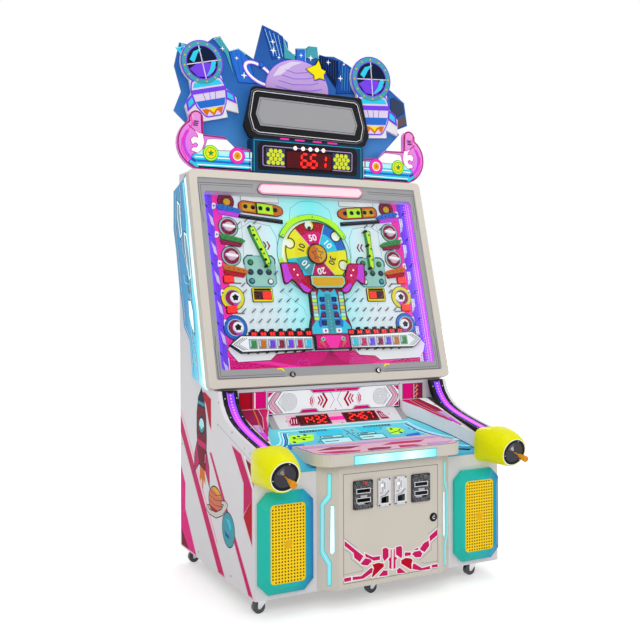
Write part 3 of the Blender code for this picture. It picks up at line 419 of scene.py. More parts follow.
# A line of even width as outlines: one if open, two if closed.
def ribbon(points, width, closed=False):
    def beside(offset):
        made = []
        count = len(points)
        for i, p in enumerate(points):
            here = Vector(p)
            before = Vector(points[i - 1]) if closed or i else None
            after = Vector(points[(i + 1) % count]) if closed or i < count - 1 else None
            ways = [w.normalized() for w in (here - before if before else None,
                after - here if after else None) if w is not None and w.length > 1e-7]
            normal = sum((Vector((-w.y, w.x)) for w in ways), Vector((0, 0))).normalized()
            reach = min(1 / max(normal.dot(Vector((-ways[0].y, ways[0].x))), 0.35), 2.0)
            made.append(tuple(here + normal * offset * reach))
        return made
    one, other = beside(width / 2), beside(-width / 2)
    return [one, other] if closed else [one + other[::-1]]


def signedArea(points):
    return sum(points[i - 1][0] * p[1] - p[0] * points[i - 1][1] for i, p in enumerate(points)) / 2


# ---- layered pieces: flat shapes in several finishes, gathered into one mesh
class Layered:
    def __init__(self, name, place, body, slot=None):
        self.name, self.place, self.body, self.slot = name, place, body, slot
        self.points, self.faces, self.kinds, self.used = [], [], [], []

    def kind(self, finishName):
        if finishName not in self.used:
            self.used.append(finishName)
        return self.used.index(finishName)

    # A closed shape between two heights; edge chamfers its top. Later outlines are holes.
    def add(self, finishName, outlines, low, high, edge=0.0):
        if not isinstance(outlines[0], list):
            outlines = [outlines]
        loops = [list(o) if (signedArea(o) > 0) == (i == 0) else list(o)[::-1]
                 for i, o in enumerate(outlines)]
        tops = [inset(o, edge if i == 0 else -edge) for i, o in enumerate(loops)] if edge else loops
        rings = [(loops, low)] + ([(loops, high - edge)] if edge else []) + [(tops, high)]
        start = len(self.points)
        size = sum(len(o) for o in loops)
        for shape, height in rings:
            self.points += [(*p, height) for o in shape for p in o]
        kind = self.kind(finishName)
        flat = [[Vector((*p, 0)) for p in o] for o in tops]
        joined = [p for o in flat for p in o]
        top = start + size * (len(rings) - 1)
        for triangle in tessellate_polygon(flat):
            a, b, c = (joined[i] for i in triangle)
            turn = (b - a).cross(c - a).z
            if abs(turn) < 1e-14:
                continue
            order = triangle if turn > 0 else triangle[::-1]
            self.faces.append([top + i for i in order])
            self.faces.append([start + i for i in order[::-1]])
            self.kinds += [kind, kind]
        first = start
        for o in loops:
            count = len(o)
            for level in range(len(rings) - 1):
                base = first + level * size
                for i in range(count):
                    j = (i + 1) % count
                    self.faces.append([base + i, base + j, base + size + j, base + size + i])
                    self.kinds.append(kind)
            first += count

    def line(self, finishName, points, width, low, high, closed=False):
        self.add(finishName, ribbon(points, width, closed) if not closed
                 else sorted(ribbon(points, width, True), key=lambda o: -abs(signedArea(o))), low, high)

    def build(self):
        mesh = bpy.data.meshes.new(self.name)
        mesh.from_pydata([tuple(self.place @ Vector(p)) for p in self.points], [], self.faces)
        for kind, face in zip(self.kinds, mesh.polygons):
            face.material_index = kind
        if self.place.to_3x3().determinant() < 0:
            mesh.flip_normals()
        for name in self.used:
            mesh.materials.append(finishes[name])
        made = bpy.data.objects.new(self.name, mesh)
        bpy.context.scene.collection.objects.link(made)
        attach(made, self.body)
        return made


# Gives a frame node its finish.
def paint(node, name):
    mesh = nodes[node].data
    mesh.materials.clear()
    mesh.materials.append(finishes[name])


# Glow on the ink* finishes, labelPink, wheelYellow and grilleYellow below is painted light: it brightens these
# prints and plastics as if lit, most of all where the frame and display box shade them. The led* and lamp*
# finishes are the lamps.
finish("whiteLaminate", "#E4E2E6", 0.34, 0.03, 0.015, 900, coat=0.1)
finish("whitePlastic", "#EDEBEE", 0.28, 0.03, 0.015, 600)
finish("creamPlastic", "#DAD3C8", 0.42, 0.035, 0.03, 1400, bump=0.0002)
finish("bezelGrey", "#A3A3A5", 0.36, 0.03, 0.03, 1600, bump=0.0001)
finish("bezelLine", "#5F5C66", 0.5)
finish("rawBoard", "#6E5A45", 0.75, 0.16, 0.12, 90, bump=0.0004, stretch=(1, 1, 0.12))
finish("blackPlastic", "#15151A", 0.38, 0.1, 0.1, 900, bump=0.0001)
finish("navyPlastic", "#123B5C", 0.3, 0.08, 0.04, 700)
finish("inkBlack", "#17151C", 0.35, 0.08, 0.05)
finish("inkGrey", "#8F8C96", 0.4)
finish("inkPaleGrey", "#C3C0C8", 0.4)
finish("inkWhite", "#FAFAFC", 0.3, 0.02, 0.01, glow=0.14)
finish("inkPalePink", "#F2BFD2", 0.35)
finish("honeyYellow", "#D6DE2E", 0.35, 0.08, glow=0.12)
finish("labelPink", "#F8DCE4", 0.3, 0.04, glow=0.12)
finish("wingEdge", "#B3246E", 0.35, 0.08)
finish("steelBlue", "#7FB4CC", 0.32, 0.12)
finish("inkPink", "#D42268", 0.32, 0.08)
finish("inkMagenta", "#D80F7A", 0.3, 0.07, glow=0.2)
finish("inkHotPink", "#EE2FA0", 0.3, 0.07, glow=0.3)
finish("inkViolet", "#C23FD6", 0.3, 0.07, glow=0.25)
finish("inkRed", "#C4142E", 0.33, 0.08)
finish("inkDarkRed", "#7E1730", 0.35, 0.08)
finish("inkMaroon", "#9C2350", 0.33, 0.08)
finish("inkLime", "#B6F032", 0.3, 0.08, glow=0.22)
finish("inkGreen", "#3E9A4E", 0.33, 0.1)
finish("inkYellow", "#F4E21C", 0.3, 0.07, glow=0.1)
finish("inkGold", "#E9B22A", 0.3, 0.12, glow=0.05)
finish("inkOrange", "#E2782A", 0.3, 0.12)
finish("inkBlue", "#2D6FD0", 0.3, 0.08, glow=0.08)
finish("inkRoyal", "#2250A8", 0.32, 0.14)
finish("inkDeepBlue", "#173A86", 0.32, 0.14)
finish("inkNavy", "#16233F", 0.35, 0.12)
finish("inkCyan", "#35C4E4", 0.28, 0.08, glow=0.16)
finish("inkTeal", "#49A6B4", 0.32, 0.1)
finish("inkPaleCyan", "#B5EEF2", 0.3, 0.05, glow=0.14)
finish("inkMint", "#A9DDD2", 0.32, 0.06)
finish("inkPurple", "#6B3FCF", 0.3, 0.08, glow=0.35)
finish("inkLilac", "#C9A8E6", 0.32, 0.1)
finish("orangeBand", "#D8662A", 0.32, 0.1)
finish("inkPaleLilac", "#E6D7F4", 0.32, 0.06)
finish("inkBrown", "#6A5A5E", 0.35, 0.12)
finish("inkSlate", "#3C4A66", 0.35, 0.12)
finish("ledCyan", "#78E2EC", 0.25, 0.05, glow=0.32)
finish("ledWhite", "#E6FBFC", 0.25, 0.04, glow=0.45)
finish("ledViolet", "#6A3BF0", 0.25, 0.1, glow=0.75)
finish("ledMagenta", "#C24BFF", 0.25, 0.08, glow=0.85)
finish("ledPink", "#FF8CF0", 0.25, 0.04, glow=1.0)
finish("ledRed", "#FF2A22", 0.3, 0.04, glow=0.75)
finish("ledRedOff", "#4A1012", 0.3, 0.06)
finish("ledDarkWindow", "#560E16", 0.15, 0.05, glow=0.1)
finish("lampWarm", "#FFD8CC", 0.25, 0.04, glow=0.95)
finish("wheelYellow", "#E8E220", 0.3, 0.08, glow=0.22)
finish("grilleYellow", "#FFD41C", 0.42, 0.05, 0.05, 900, bump=0.0001, glow=0.05)
# grilleHole: the dark colour of the grille's holes, which is painted shade inside them
finish("grilleHole", "#4A3406", 0.6)
finish("lemonPlastic", "#F1F000", 0.3, 0.03, 0.03, 1100, bump=0.0001)
finish("orangePlastic", "#E9981E", 0.26, 0.08, 0.05)
finish("knobEnd", "#2A2018", 0.4)
finish("brushedSteel", "#B9B9BD", 0.3, 0.05, 0.1, 220, 0.1, 0.00008, (1, 1, 14), 1.0)
finish("zincSteel", "#A9A9AC", 0.32, 0.12, 0.1, 120, 0.12, 0.00006, metal=1.0)
finish("chrome", "#D5D5D8", 0.12, 0.03, 0.02, 300, 0.05, metal=1.0)
finish("darkMetal", "#3E3D42", 0.24, 0.1, 0.16, 260, 0.1, 0.0002, (1, 1, 1), 0.85)
finish("hammered", "#2C2C30", 0.32, 0.14, 0.22, 320, 0.1, 0.0006, metal=0.35)
finish("screwBlack", "#26262B", 0.3, 0.08, 0.05, metal=0.6)
finish("screwSteel", "#9C9CA2", 0.28, 0.06, 0.05, metal=1.0)
finish("casterDark", "#55555A", 0.25, 0.1, 0.1, 300, 0.12, metal=0.7)


# A finish whose colour runs through stops along x, y or z of the frame, as lit acrylic does.
def gradient(name, stops, axis, low, high, rough=0.3, glow=0.0, drift=0.04):
    made = finish(name, stops[0][1], rough, drift, 0.02, glow=glow or 0.0)
    tree = made.node_tree
    surface = next(n for n in tree.nodes if n.type == "GROUP")
    place = tree.nodes.new("ShaderNodeTexCoord").outputs["Object"]
    split = tree.nodes.new("ShaderNodeSeparateXYZ")
    link(tree, place, split.inputs[0])
    spread = tree.nodes.new("ShaderNodeMapRange")
    spread.inputs["From Min"].default_value = low
    spread.inputs["From Max"].default_value = high
    link(tree, split.outputs["XYZ".index(axis)], spread.inputs["Value"])
    ramp = tree.nodes.new("ShaderNodeValToRGB")
    for index, (at, code) in enumerate(stops):
        element = ramp.color_ramp.elements[index] if index < 2 else ramp.color_ramp.elements.new(at)
        element.position = at
        element.color = tint(code)
    link(tree, spread.outputs[0], ramp.inputs[0])
    link(tree, ramp.outputs[0], surface.inputs["Colour"])
    return made


# Clear sheet: what is behind shows through, with a thin reflection on top.
def clearFinish(name, code, shine, rough=0.03):
    made = bpy.data.materials.new(name)
    made.use_nodes = True
    tree = made.node_tree
    tree.nodes.clear()
    out = tree.nodes.new("ShaderNodeOutputMaterial")
    through = tree.nodes.new("ShaderNodeBsdfTransparent")
    through.inputs["Color"].default_value = tint(code)
    gloss = tree.nodes.new("ShaderNodeBsdfGlossy")
    gloss.inputs["Roughness"].default_value = rough
    fresnel = tree.nodes.new("ShaderNodeFresnel")
    fresnel.inputs["IOR"].default_value = 1.45
    place = tree.nodes.new("ShaderNodeTexCoord").outputs["Object"]
    smudge = noiseNode(tree, place, 6.0, 2.0)
    amount = mathNode(tree, "MULTIPLY", fresnel.outputs[0],
                      mathNode(tree, "ADD", mathNode(tree, "MULTIPLY", smudge, 0.3 * shine), shine * 0.85))
    mix = tree.nodes.new("ShaderNodeMixShader")
    link(tree, amount, mix.inputs[0])
    link(tree, through.outputs[0], mix.inputs[1])
    link(tree, gloss.outputs[0], mix.inputs[2])
    link(tree, mix.outputs[0], out.inputs["Surface"])
    finishes[name] = made
    return made


clearFinish("clearGlass", "#FCFEFE", 0.28)

frameFinish = {
    "whiteLaminate": ("side_panel_left", "side_panel_right", "top_panel", "column_front_left",
                      "column_front_right", "rear_speaker_panel", "playfield_box"),
    "rawBoard": ("bottom_panel", "rear_panel", "rear_door"),
    "whitePlastic": ("ledge_left", "ledge_right", "space_pod_left", "space_pod_right"),
    "creamPlastic": ("console_shell", "console_top", "coin_door", "display_frame"),
    "bezelGrey": ("display_bezel",),
    "clearGlass": ("display_glass",),
    "blackPlastic": ("wheel_motor", "title_plate"),
    "navyPlastic": ("marquee_box",),
    "grilleYellow": ("speaker_grille_left", "speaker_grille_right"),
    "lemonPlastic": ("plunger_housing_left", "plunger_housing_right"),
    "darkMetal": ("plunger_plate_left", "plunger_plate_right"),
    "orangePlastic": ("plunger_left", "plunger_right"),
    "brushedSteel": ("coin_plate_left", "coin_plate_right"),
    "hammered": ("ticket_plate_left", "ticket_plate_right"),
    "chrome": ("reject_button_left", "reject_button_right", "door_lock"),
    "chrome": tuple(n for n in nodes if n.startswith("caster_fork_")),
    "casterDark": tuple(n for n in nodes if n.startswith("caster_wheel_"))}
for name, group in frameFinish.items():
    for node in group:
        paint(node, name)

low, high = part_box("led_trim_left")
gradient("trimGlow", ((0.0, "#C24BFF"), (0.45, "#B43CFF"), (0.8, "#7A3CFF"), (1.0, "#6A3BF0")), "Z", low.z,
    high.z, glow=0.8)
low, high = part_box("side_light_left")
gradient("sideLight", ((0.0, "#E9FFFF"), (0.12, "#B8F6FA"), (0.3, "#4CC6E8"), (0.6, "#2E8FC4"),
    (1.0, "#3E8DBB")), "Y", low.y, high.y, glow=0.3)
# The board's glow is painted light in place of a lamp behind it; its cyan middle is partly the print's colour
# and partly painted light from behind. The glow on deckPrint and wingPrint is painted light too.
low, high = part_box("playfield_board")
gradient("boardPrint", ((0.0, "#D9DCE2"), (0.26, "#D2DDE3"), (0.36, "#B2E6EC"), (0.5, "#7EECEE"),
    (0.64, "#B2E6EC"), (0.74, "#D2DDE3"), (1.0, "#D9DCE2")), "X", low.x, high.x, rough=0.35, glow=0.34)
low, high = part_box("deck_board")
gradient("deckPrint", ((0.0, "#4CB4DC"), (0.5, "#58CCE2"), (1.0, "#7AD8E4")), "Y", low.y, high.y,
    rough=0.22, glow=0.08)
low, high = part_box("skyline_board")
gradient("skyPrint", ((0.0, "#58A6DC"), (0.35, "#3A80C8"), (0.65, "#2B66B6"), (1.0, "#234E9C")), "Z",
    low.z, high.z)
gradient("wingPrint", ((0.0, "#D070E6"), (0.35, "#E890DC"), (0.7, "#F6B4DA"), (1.0, "#F9CCE0")), "Z",
    low.z, high.z, glow=0.12)
for word in ("left", "right"):
    paint(f"led_trim_{word}", "blackPlastic")
    paint(f"side_light_{word}", "sideLight")
    paint(f"marquee_wing_{word}", "wingPrint")
paint("playfield_board", "boardPrint")
paint("deck_board", "deckPrint")
paint("skyline_board", "skyPrint")
paint("prize_wheel", "wheelYellow")

for word in ("left", "right"):
    low, high = (Vector(p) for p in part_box(f"speaker_bezel_{word}"))
    gradient(f"bezelTeal.{word}", ((0.0, "#2BC4B2"), (0.62, "#22BCC0"), (0.88, "#1C9AC4"),
        (1.0, "#1A74B8")), "X", low.x, high.x, rough=0.34)
    paint(f"speaker_bezel_{word}", f"bezelTeal.{word}")
low, high = (Vector(p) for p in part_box("console_top"))
gradient("barGlow", ((0.0, "#7CE4EE"), (0.3, "#C8FAFC"), (0.5, "#A0F0F4"), (0.7, "#DCFCFC"),
    (1.0, "#70DCEC")), "X", -0.22, 0.22, rough=0.3, glow=0.5)
print("frame finishes")
# ---- playfield: printed board, lit edge strips and the plastics fixed to it
face = -0.065      # playfield face, behind the display's front
field = {"edge": 0.6215, "low": 0.086, "high": 1.019, "peg": 0.0022, "tabPitch": 0.155}
ink = face + 0.0004


def bordered(piece, name, points, low, high, edgeName="inkBlack", width=0.003, edge=0.0):
    piece.add(edgeName, inset(points, -width), low, high - 0.0003)
    piece.add(name, points, low, high, edge)


def fieldPrint():
    art = Layered("playfieldPrint", display, "cabinet", "cyan_print")
    low, high = field["low"], field["high"]
    for side in (-1, 1):
        def mirror(points):
            return [(x * side, v) for x, v in points]
        art.add("ledViolet", mirror(block(-0.6215, low, -0.588, high)), face, ink)
        art.add("inkPurple", mirror(block(-0.588, low, -0.56, high)), face, ink)
        art.add("inkHotPink", mirror(block(-0.56, 0.16, -0.512, high)), face, ink)
        for k in range(6):
            v = 0.975 - k * field["tabPitch"]
            art.add("inkDeepBlue", mirror([(-0.6215, v + 0.01), (-0.592, v - 0.012), (-0.586, v - 0.03),
                (-0.6, v - 0.02), (-0.6215, v)]), face, ink + 0.0003)
            art.add("inkPaleLilac", mirror([(-0.588, v - 0.055), (-0.566, v - 0.085), (-0.562, v - 0.13),
                                            (-0.578, v - 0.115)]), face, ink + 0.0003)
            art.line("ledViolet", mirror([(-0.604, v - 0.03), (-0.604, v - 0.1), (-0.594, v - 0.12)]),
                0.003, face, ink + 0.0005)
        # faint hexagon outlines behind the pegs
        art.line("inkTeal", mirror(mm(-440, 830, -360, 880, -250, 860, -220, 800, -220, 690)), 0.0022,
            face, ink)
        art.line("inkTeal", mirror(mm(-410, 880, -420, 600, -340, 420)), 0.0018, face, ink)
        art.line("inkTeal", mirror(mm(-130, 900, -118, 965, -60, 1005, 0, 1012)), 0.002, face, ink)
        art.line("inkTeal", mirror(mm(-215, 500, -110, 410, -100, 370)), 0.0018, face, ink)
        # double chevron beside the lime bar
        for k, name in ((0, "inkDarkRed"), (1, "inkMaroon")):
            x = -0.303 + 0.021 * k
            art.add(name, mirror([(x, 0.773), (x + 0.008, 0.773), (x + 0.022, 0.75), (x + 0.008, 0.727),
                                  (x, 0.727), (x + 0.012, 0.75)]), face, ink + 0.0002)
    # pale wedge shapes at the foot and the magenta floor with its flame
    art.add("inkMagenta", [(-0.556, low), (0.6, low), (0.6, 0.165), (0.13, 0.178), (-0.1, 0.182),
        (-0.556, 0.17)], face, ink)
    art.add("inkHotPink", [(-0.556, 0.15), (-0.34, 0.118), (-0.18, low), (-0.1, low), (-0.3, 0.128),
        (-0.5, 0.17)], face, ink + 0.0003)
    art.add("inkHotPink", [(0.6, 0.14), (0.4, 0.112), (0.24, low), (0.16, low), (0.36, 0.122),
        (0.56, 0.16)], face, ink + 0.0003)
    for k in range(5):
        spread = 0.01 + 0.022 * k
        art.line("inkDarkRed", [(-spread * 1.6 + 0.015, low), (-spread * 0.5 + 0.015, 0.125),
            (0.012, 0.166 + 0.004 * k)], 0.0022, face, ink + 0.0005)
        art.line("inkDarkRed", [(spread * 1.6 + 0.015, low), (spread * 0.5 + 0.015, 0.125),
            (0.018, 0.166 + 0.004 * k)], 0.0022, face, ink + 0.0005)
    for x in (-0.15, 0.17):
        art.line("inkViolet", arc((x - 0.018, 0.12), 0.016, 40, 250, 8), 0.0025, face, ink + 0.0006)
        art.line("inkViolet", arc((x + 0.018, 0.12), 0.016, -70, 140, 8), 0.0025, face, ink + 0.0006)
    for side, points in ((-1, mm(-556, 205, -548, 188, -508, 138, -332, 142, -297, 172, -165, 178, -100,
            200, -100, 270, -500, 270)), (1, mm(610, 200, 595, 158, 566, 125, 311, 120, 282, 144, 188, 152,
            150, 190, 150, 270, 550, 270))):
        bordered(art, "inkWhite", points, face, ink + 0.001, "inkDarkRed", 0.0035)
    art.build()


# Slanted pegs in two fields, one Geometry Nodes tree for both.
def steelDashes():
    s = {"pitchX": 0.0475, "pitchV": 0.0535, "long": 0.027, "thick": 0.0036, "turn": radians(42),
        "tall": 0.012}
    group = bpy.data.node_groups.new("pegField", "GeometryNodeTree")
    for label, kind, value in (("Mesh", "NodeSocketGeometry", None),
            ("Length", "NodeSocketFloat", s["long"]), ("Thickness", "NodeSocketFloat", s["thick"]),
            ("Height", "NodeSocketFloat", s["tall"]), ("Turn", "NodeSocketFloat", s["turn"]),
            ("Finish", "NodeSocketMaterial", None)):
        socket = group.interface.new_socket(label, in_out="INPUT", socket_type=kind)
        if value is not None:
            socket.default_value = value
    group.interface.new_socket("Mesh", in_out="OUTPUT", socket_type="NodeSocketGeometry")
    given, out = group.nodes.new("NodeGroupInput"), group.nodes.new("NodeGroupOutput")
    size = group.nodes.new("ShaderNodeCombineXYZ")
    for label, axis in (("Length", "X"), ("Thickness", "Y"), ("Height", "Z")):
        link(group, given.outputs[label], size.inputs[axis])
    cube = group.nodes.new("GeometryNodeMeshCube")
    link(group, size.outputs[0], cube.inputs["Size"])
    turn = group.nodes.new("ShaderNodeCombineXYZ")
    link(group, given.outputs["Turn"], turn.inputs["Z"])
    place = group.nodes.new("GeometryNodeInstanceOnPoints")
    link(group, given.outputs["Mesh"], place.inputs["Points"])
    link(group, cube.outputs["Mesh"], place.inputs["Instance"])
    link(group, turn.outputs[0], place.inputs["Rotation"])
    real = group.nodes.new("GeometryNodeRealizeInstances")
    link(group, place.outputs[0], real.inputs[0])
    coat = group.nodes.new("GeometryNodeSetMaterial")
    link(group, real.outputs[0], coat.inputs["Geometry"])
    link(group, given.outputs["Finish"], coat.inputs["Material"])
    link(group, coat.outputs[0], out.inputs[0])
    spots = []
    for side in (-1, 1):
        for row in range(4):
            count = 7 if row < 2 else 5 - row + 2
            for k in range(count):
                x = 0.13 + 0.009 * row + k * s["pitchX"] + (row % 2) * 0.02
                v = 0.345 + row * s["pitchV"]
                hidden = 0.27 < x < 0.41 and v > 0.43
                if x < 0.43 and not hidden:
                    spots.append((side * x, v))
        spots += [(side * x, v) for x, v in ((0.43, 0.865), (0.385, 0.885), (0.335, 0.876), (0.315, 0.845),
            (0.455, 0.83), (0.44, 0.535), (0.435, 0.5), (0.25, 0.6), (0.45, 0.4))]
    realize("steelPegs", group, spots, {"Finish": finishes["screwBlack"]}, face + s["tall"] / 2)


# Runs a tree on flat points, turns its result to a plain mesh and lays it on its surface.
def realize(name, group, spots, given, height, body="cabinet", place=None):
    mesh = bpy.data.meshes.new(name + "Points")
    mesh.from_pydata([(*spot, height) for spot in spots], [], [])
    holder = bpy.data.objects.new(name + "Points", mesh)
    bpy.context.scene.collection.objects.link(holder)
    modifier = holder.modifiers.new("repeat", "NODES")
    modifier.node_group = group
    for item in group.interface.items_tree:
        if item.item_type == "SOCKET" and item.in_out == "INPUT" and item.name in given:
            modifier[item.identifier] = given[item.name]
    bpy.context.view_layer.update()
    graph = bpy.context.evaluated_depsgraph_get()
    result = bpy.data.meshes.new_from_object(holder.evaluated_get(graph))
    result.name = name
    bpy.data.objects.remove(holder)
    place = display if place is None else place
    result.transform(place)
    if place.to_3x3().determinant() < 0:
        result.flip_normals()
    made = bpy.data.objects.new(name, result)
    bpy.context.scene.collection.objects.link(made)
    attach(made, body)
    return made


# Raised acrylic pieces on the board, from the top of the field down.
def fieldPlastics():
    raised = Layered("playfieldPlastics", display, "cabinet", "pink_plastic")
    low = face
    for side in (-1, 1):
        def mirror(points):
            return [(x * side, v) for x, v in points]
        x0 = 0.487 * side
        # gold cup, then two white domes in maroon, a yellow and a blue ring
        raised.add("inkBlack", disc((x0, 0.985), 0.047), low, low + 0.003)
        raised.add("inkMaroon", disc((x0, 0.985), 0.042), low, low + 0.005)
        raised.add("inkDarkRed", disc((x0, 0.985), 0.03), low, low + 0.006)
        raised.add("inkGold", disc((x0 - side * 0.003, 0.98), 0.019), low, low + 0.012, 0.002)
        for v in (0.845, 0.688):
            raised.add("inkBlack", disc((x0, v), 0.055), low, low + 0.002)
            raised.add("inkMint", disc((x0, v), 0.051), low, low + 0.004, 0.0008)
            raised.add("inkMaroon", disc((x0, v), 0.043), low, low + 0.006)
            raised.add("inkDarkRed", disc((x0, v), 0.032), low, low + 0.007)
            raised.add("inkPalePink", disc((x0, v), 0.026), low, low + 0.016, 0.004)
            raised.add("inkWhite", soften([(x0 - 0.034, v + 0.012), (x0 - 0.01, v + 0.01),
                (x0 + 0.034, v + 0.004), (x0 + 0.03, v - 0.01), (x0, v - 0.008),
                (x0 - 0.032, v - 0.002)], 0.004), low, low + 0.019, 0.001)
        for v, ring, core in ((0.466, "inkYellow", "inkMaroon"), (0.312, "inkBlue", "inkMaroon")):
            x1 = (0.503 if v > 0.4 else 0.505) * side
            raised.add("inkBlack", disc((x1, v), 0.065), low, low + 0.002)
            raised.add(ring, disc((x1, v), 0.061), low, low + 0.005, 0.001)
            raised.add("inkMint" if ring == "inkYellow" else "inkPaleCyan", disc((x1, v), 0.044), low,
                low + 0.006)
            raised.add(core, disc((x1, v), 0.04), low, low + 0.008)
            raised.add("inkWhite", disc((x1 - side * 0.012, v), 0.029), low, low + 0.014, 0.004)
            raised.add("inkBlack", star((x1 - side * 0.01, v), 0.019, 0.014, 5), low, low + 0.016, 0.001)
            raised.add("inkViolet", disc((x1 - side * 0.012, v - 0.032), 0.011, 16), low, low + 0.012, 0.002)
        # three flags that point inwards, each over a lower face in a darker colour, which is painted shade
        for v, top, under in ((0.932, "inkBlue", "inkViolet"), (0.77, "inkGreen", "inkMaroon"),
                (0.607, "inkOrange", "inkRed")):
            raised.add(under, mirror([(-0.54, v), (-0.535, v - 0.02), (-0.432, v - 0.034),
                (-0.42, v - 0.012)]), low, low + 0.016)
            raised.add(top, mirror(soften([(-0.545, v + 0.028), (-0.538, v + 0.004), (-0.425, v - 0.016),
                (-0.406, v - 0.006), (-0.424, v + 0.008), (-0.52, v + 0.03)], 0.005)), low, low + 0.022,
                0.001)
            for k in range(4):
                raised.add("inkNavy", disc((side * (0.515 - 0.026 * k), v + 0.012 - 0.005 * k), 0.0034, 8),
                    low, low + 0.0226)
        # white tabs with a screw on the lit strip
        for k in range(5):
            v = 0.958 - k * field["tabPitch"]
            raised.add("inkWhite", mirror(soften([(-0.566, v - 0.018), (-0.546, v - 0.014),
                (-0.544, v + 0.014), (-0.562, v + 0.018)], 0.006)), low, low + 0.004, 0.0006)
            raised.add("screwBlack", disc((side * 0.555, v), 0.0045, 12), low, low + 0.006, 0.0008)
        # red lamp boxes with a short sign beside each
        for v in (0.562, 0.404):
            raised.add("inkDarkRed", mirror(soften(block(-0.546, v - 0.02, -0.488, v + 0.02), 0.005)),
                low, low + 0.01)
            raised.add("ledRed", mirror(soften(block(-0.541, v - 0.016, -0.493, v + 0.017), 0.005)), low,
                low + 0.018, 0.002)
            raised.add("inkGrey", mirror(block(-0.486, v - 0.022, -0.448, v - 0.014)), low, low + 0.002)
        # pill with five windows, orange outside and lime inside, and a dark bar under it
        bordered(raised, "inkWhite", mirror(block(-0.4, 0.991, -0.186, 1.018)), low, low + 0.004,
            "inkGrey", 0.002)
        pill = mm(-417, 940, -417, 978, -395, 992, -200, 974, -170, 958, -168, 930, -200, 914, -395, 932)
        bordered(raised, "inkOrange", mirror(soften(pill, 0.016, 5)), low, low + 0.008, "inkDarkRed",
            0.004, 0.001)
        raised.add("inkLime", mirror(mm(-320, 929, -320, 981, -226, 973, -226, 921)), low, low + 0.0085)
        raised.add("inkGold", mirror(soften(mm(-398, 940, -398, 980, -330, 976, -330, 934), 0.008)), low,
            low + 0.0086)
        raised.add("inkBlack", mirror(mm(-323, 926, -323, 985, -315, 984, -315, 925)), low, low + 0.01)
        for k in range(5):
            raised.add("inkBlack", disc((side * (0.382 - 0.0425 * k), 0.96 - 0.0032 * k), 0.0125, 16),
                low, low + 0.0095)
        raised.add("inkBlack", mirror(mm(-427, 898, -427, 917, -176, 893, -176, 872)), low, low + 0.012,
            0.001)
        raised.add("inkSlate", mirror(mm(-420, 906, -420, 912, -185, 889, -185, 883)), low, low + 0.0125)
        # teal card with five cups
        card = mm(-413, 546, -418, 672, -398, 690, -265, 688, -250, 672, -252, 546, -272, 528, -396, 530)
        bordered(raised, "inkMint", mirror(card), low, low + 0.003, "inkTeal", 0.004)
        raised.line("inkNavy", mirror(mm(-422, 645, -422, 672, -400, 694, -370, 695)), 0.005, low,
            low + 0.004)
        raised.line("inkNavy", mirror(mm(-290, 695, -262, 693, -246, 674, -247, 650)), 0.005, low,
            low + 0.004)
        raised.line("inkNavy", mirror(mm(-417, 570, -417, 545, -396, 526)), 0.004, low, low + 0.004)
        for x, v, name in ((0.386, 0.656, "inkGreen"), (0.284, 0.66, "inkGreen"),
                (0.39, 0.604, "inkSlate"), (0.338, 0.604, "inkSlate"), (0.288, 0.604, "inkSlate"),
                (0.388, 0.556, "inkTeal"), (0.284, 0.553, "inkWhite")):
            raised.add("inkNavy", disc((side * x, v), 0.0165, 16), low, low + 0.005)
            raised.add(name, disc((side * x, v), 0.0115, 12), low, low + 0.011, 0.003)
        # small red number window in a yellow-edged frame
        bordered(raised, "inkYellow", mirror(soften(block(-0.394, 0.446, -0.284, 0.517), 0.006)), low,
            low + 0.008, "inkBlack", 0.003)
        raised.add("ledDarkWindow", mirror(block(-0.388, 0.456, -0.29, 0.501)), low, low + 0.009)
        raised.add("inkBlack", mirror(block(-0.386, 0.503, -0.292, 0.514)), low, low + 0.009)
        raised.add("ledRed", mirror(block(-0.338, 0.461, -0.295, 0.497)), low, low + 0.0096)
        raised.add("ledRedOff", mirror(block(-0.384, 0.461, -0.342, 0.497)), low, low + 0.0096)
    raised.build()


# The two lime flipper lanes with dark clips.
def slantBars():
    bars = Layered("limeLanes", display, "cabinet", "pink_plastic")
    low = face
    left = mm(-378, 842, -366, 800, -334, 722, -312, 668, -304, 630, -286, 632, -282, 660, -300, 716, -330,
        790, -352, 846)
    right = mm(318, 836, 324, 756, 318, 690, 318, 628, 340, 626, 346, 700, 342, 760, 346, 842)
    for points in (left, right):
        bordered(bars, "inkLime", soften(points, 0.008), low, low + 0.024, "inkGreen", 0.0025, 0.002)
        middle = [Vector(((points[i][0] + points[-1 - i][0]) / 2, (points[i][1] + points[-1 - i][1]) / 2))
            for i in range(len(points) // 2)]
        for p in middle:
            bars.add("inkBlack", disc(tuple(p + Vector((-0.01, 0.002))), 0.0075, 10), low, low + 0.027,
                0.001)
            bars.add("inkGreen", disc(tuple(p + Vector((0.004, -0.02))), 0.006, 10), low, low + 0.0252)
        bars.line("inkYellow", [tuple(p) for p in middle], 0.005, low, low + 0.0246)
    bars.build()


wheel = {"centre": (0.0, 0.703), "radius": 0.186, "notch": 0.026, "notchAt": 0.165, "first": 99,
    "face": -0.05}


# Flat outline triangles of a numeral, centred and turned: (points, triangles).
def numberShape(text, size, centre, turn):
    curve = bpy.data.curves.new("numeral", "FONT")
    curve.body = text
    curve.size = size
    curve.align_x, curve.align_y = "CENTER", "CENTER"
    curve.resolution_u = 3
    curve.offset = size * 0.02
    holder = bpy.data.objects.new("numeral", curve)
    bpy.context.scene.collection.objects.link(holder)
    bpy.context.view_layer.update()
    mesh = bpy.data.meshes.new_from_object(holder.evaluated_get(bpy.context.evaluated_depsgraph_get()))
    mesh.calc_loop_triangles()
    spin = Matrix.Rotation(radians(turn), 2)
    points = [tuple(spin @ Vector(v.co[:2]) + Vector(centre)) for v in mesh.vertices]
    triangles = [tuple(t.vertices) for t in mesh.loop_triangles]
    bpy.data.objects.remove(holder)
    return points, triangles


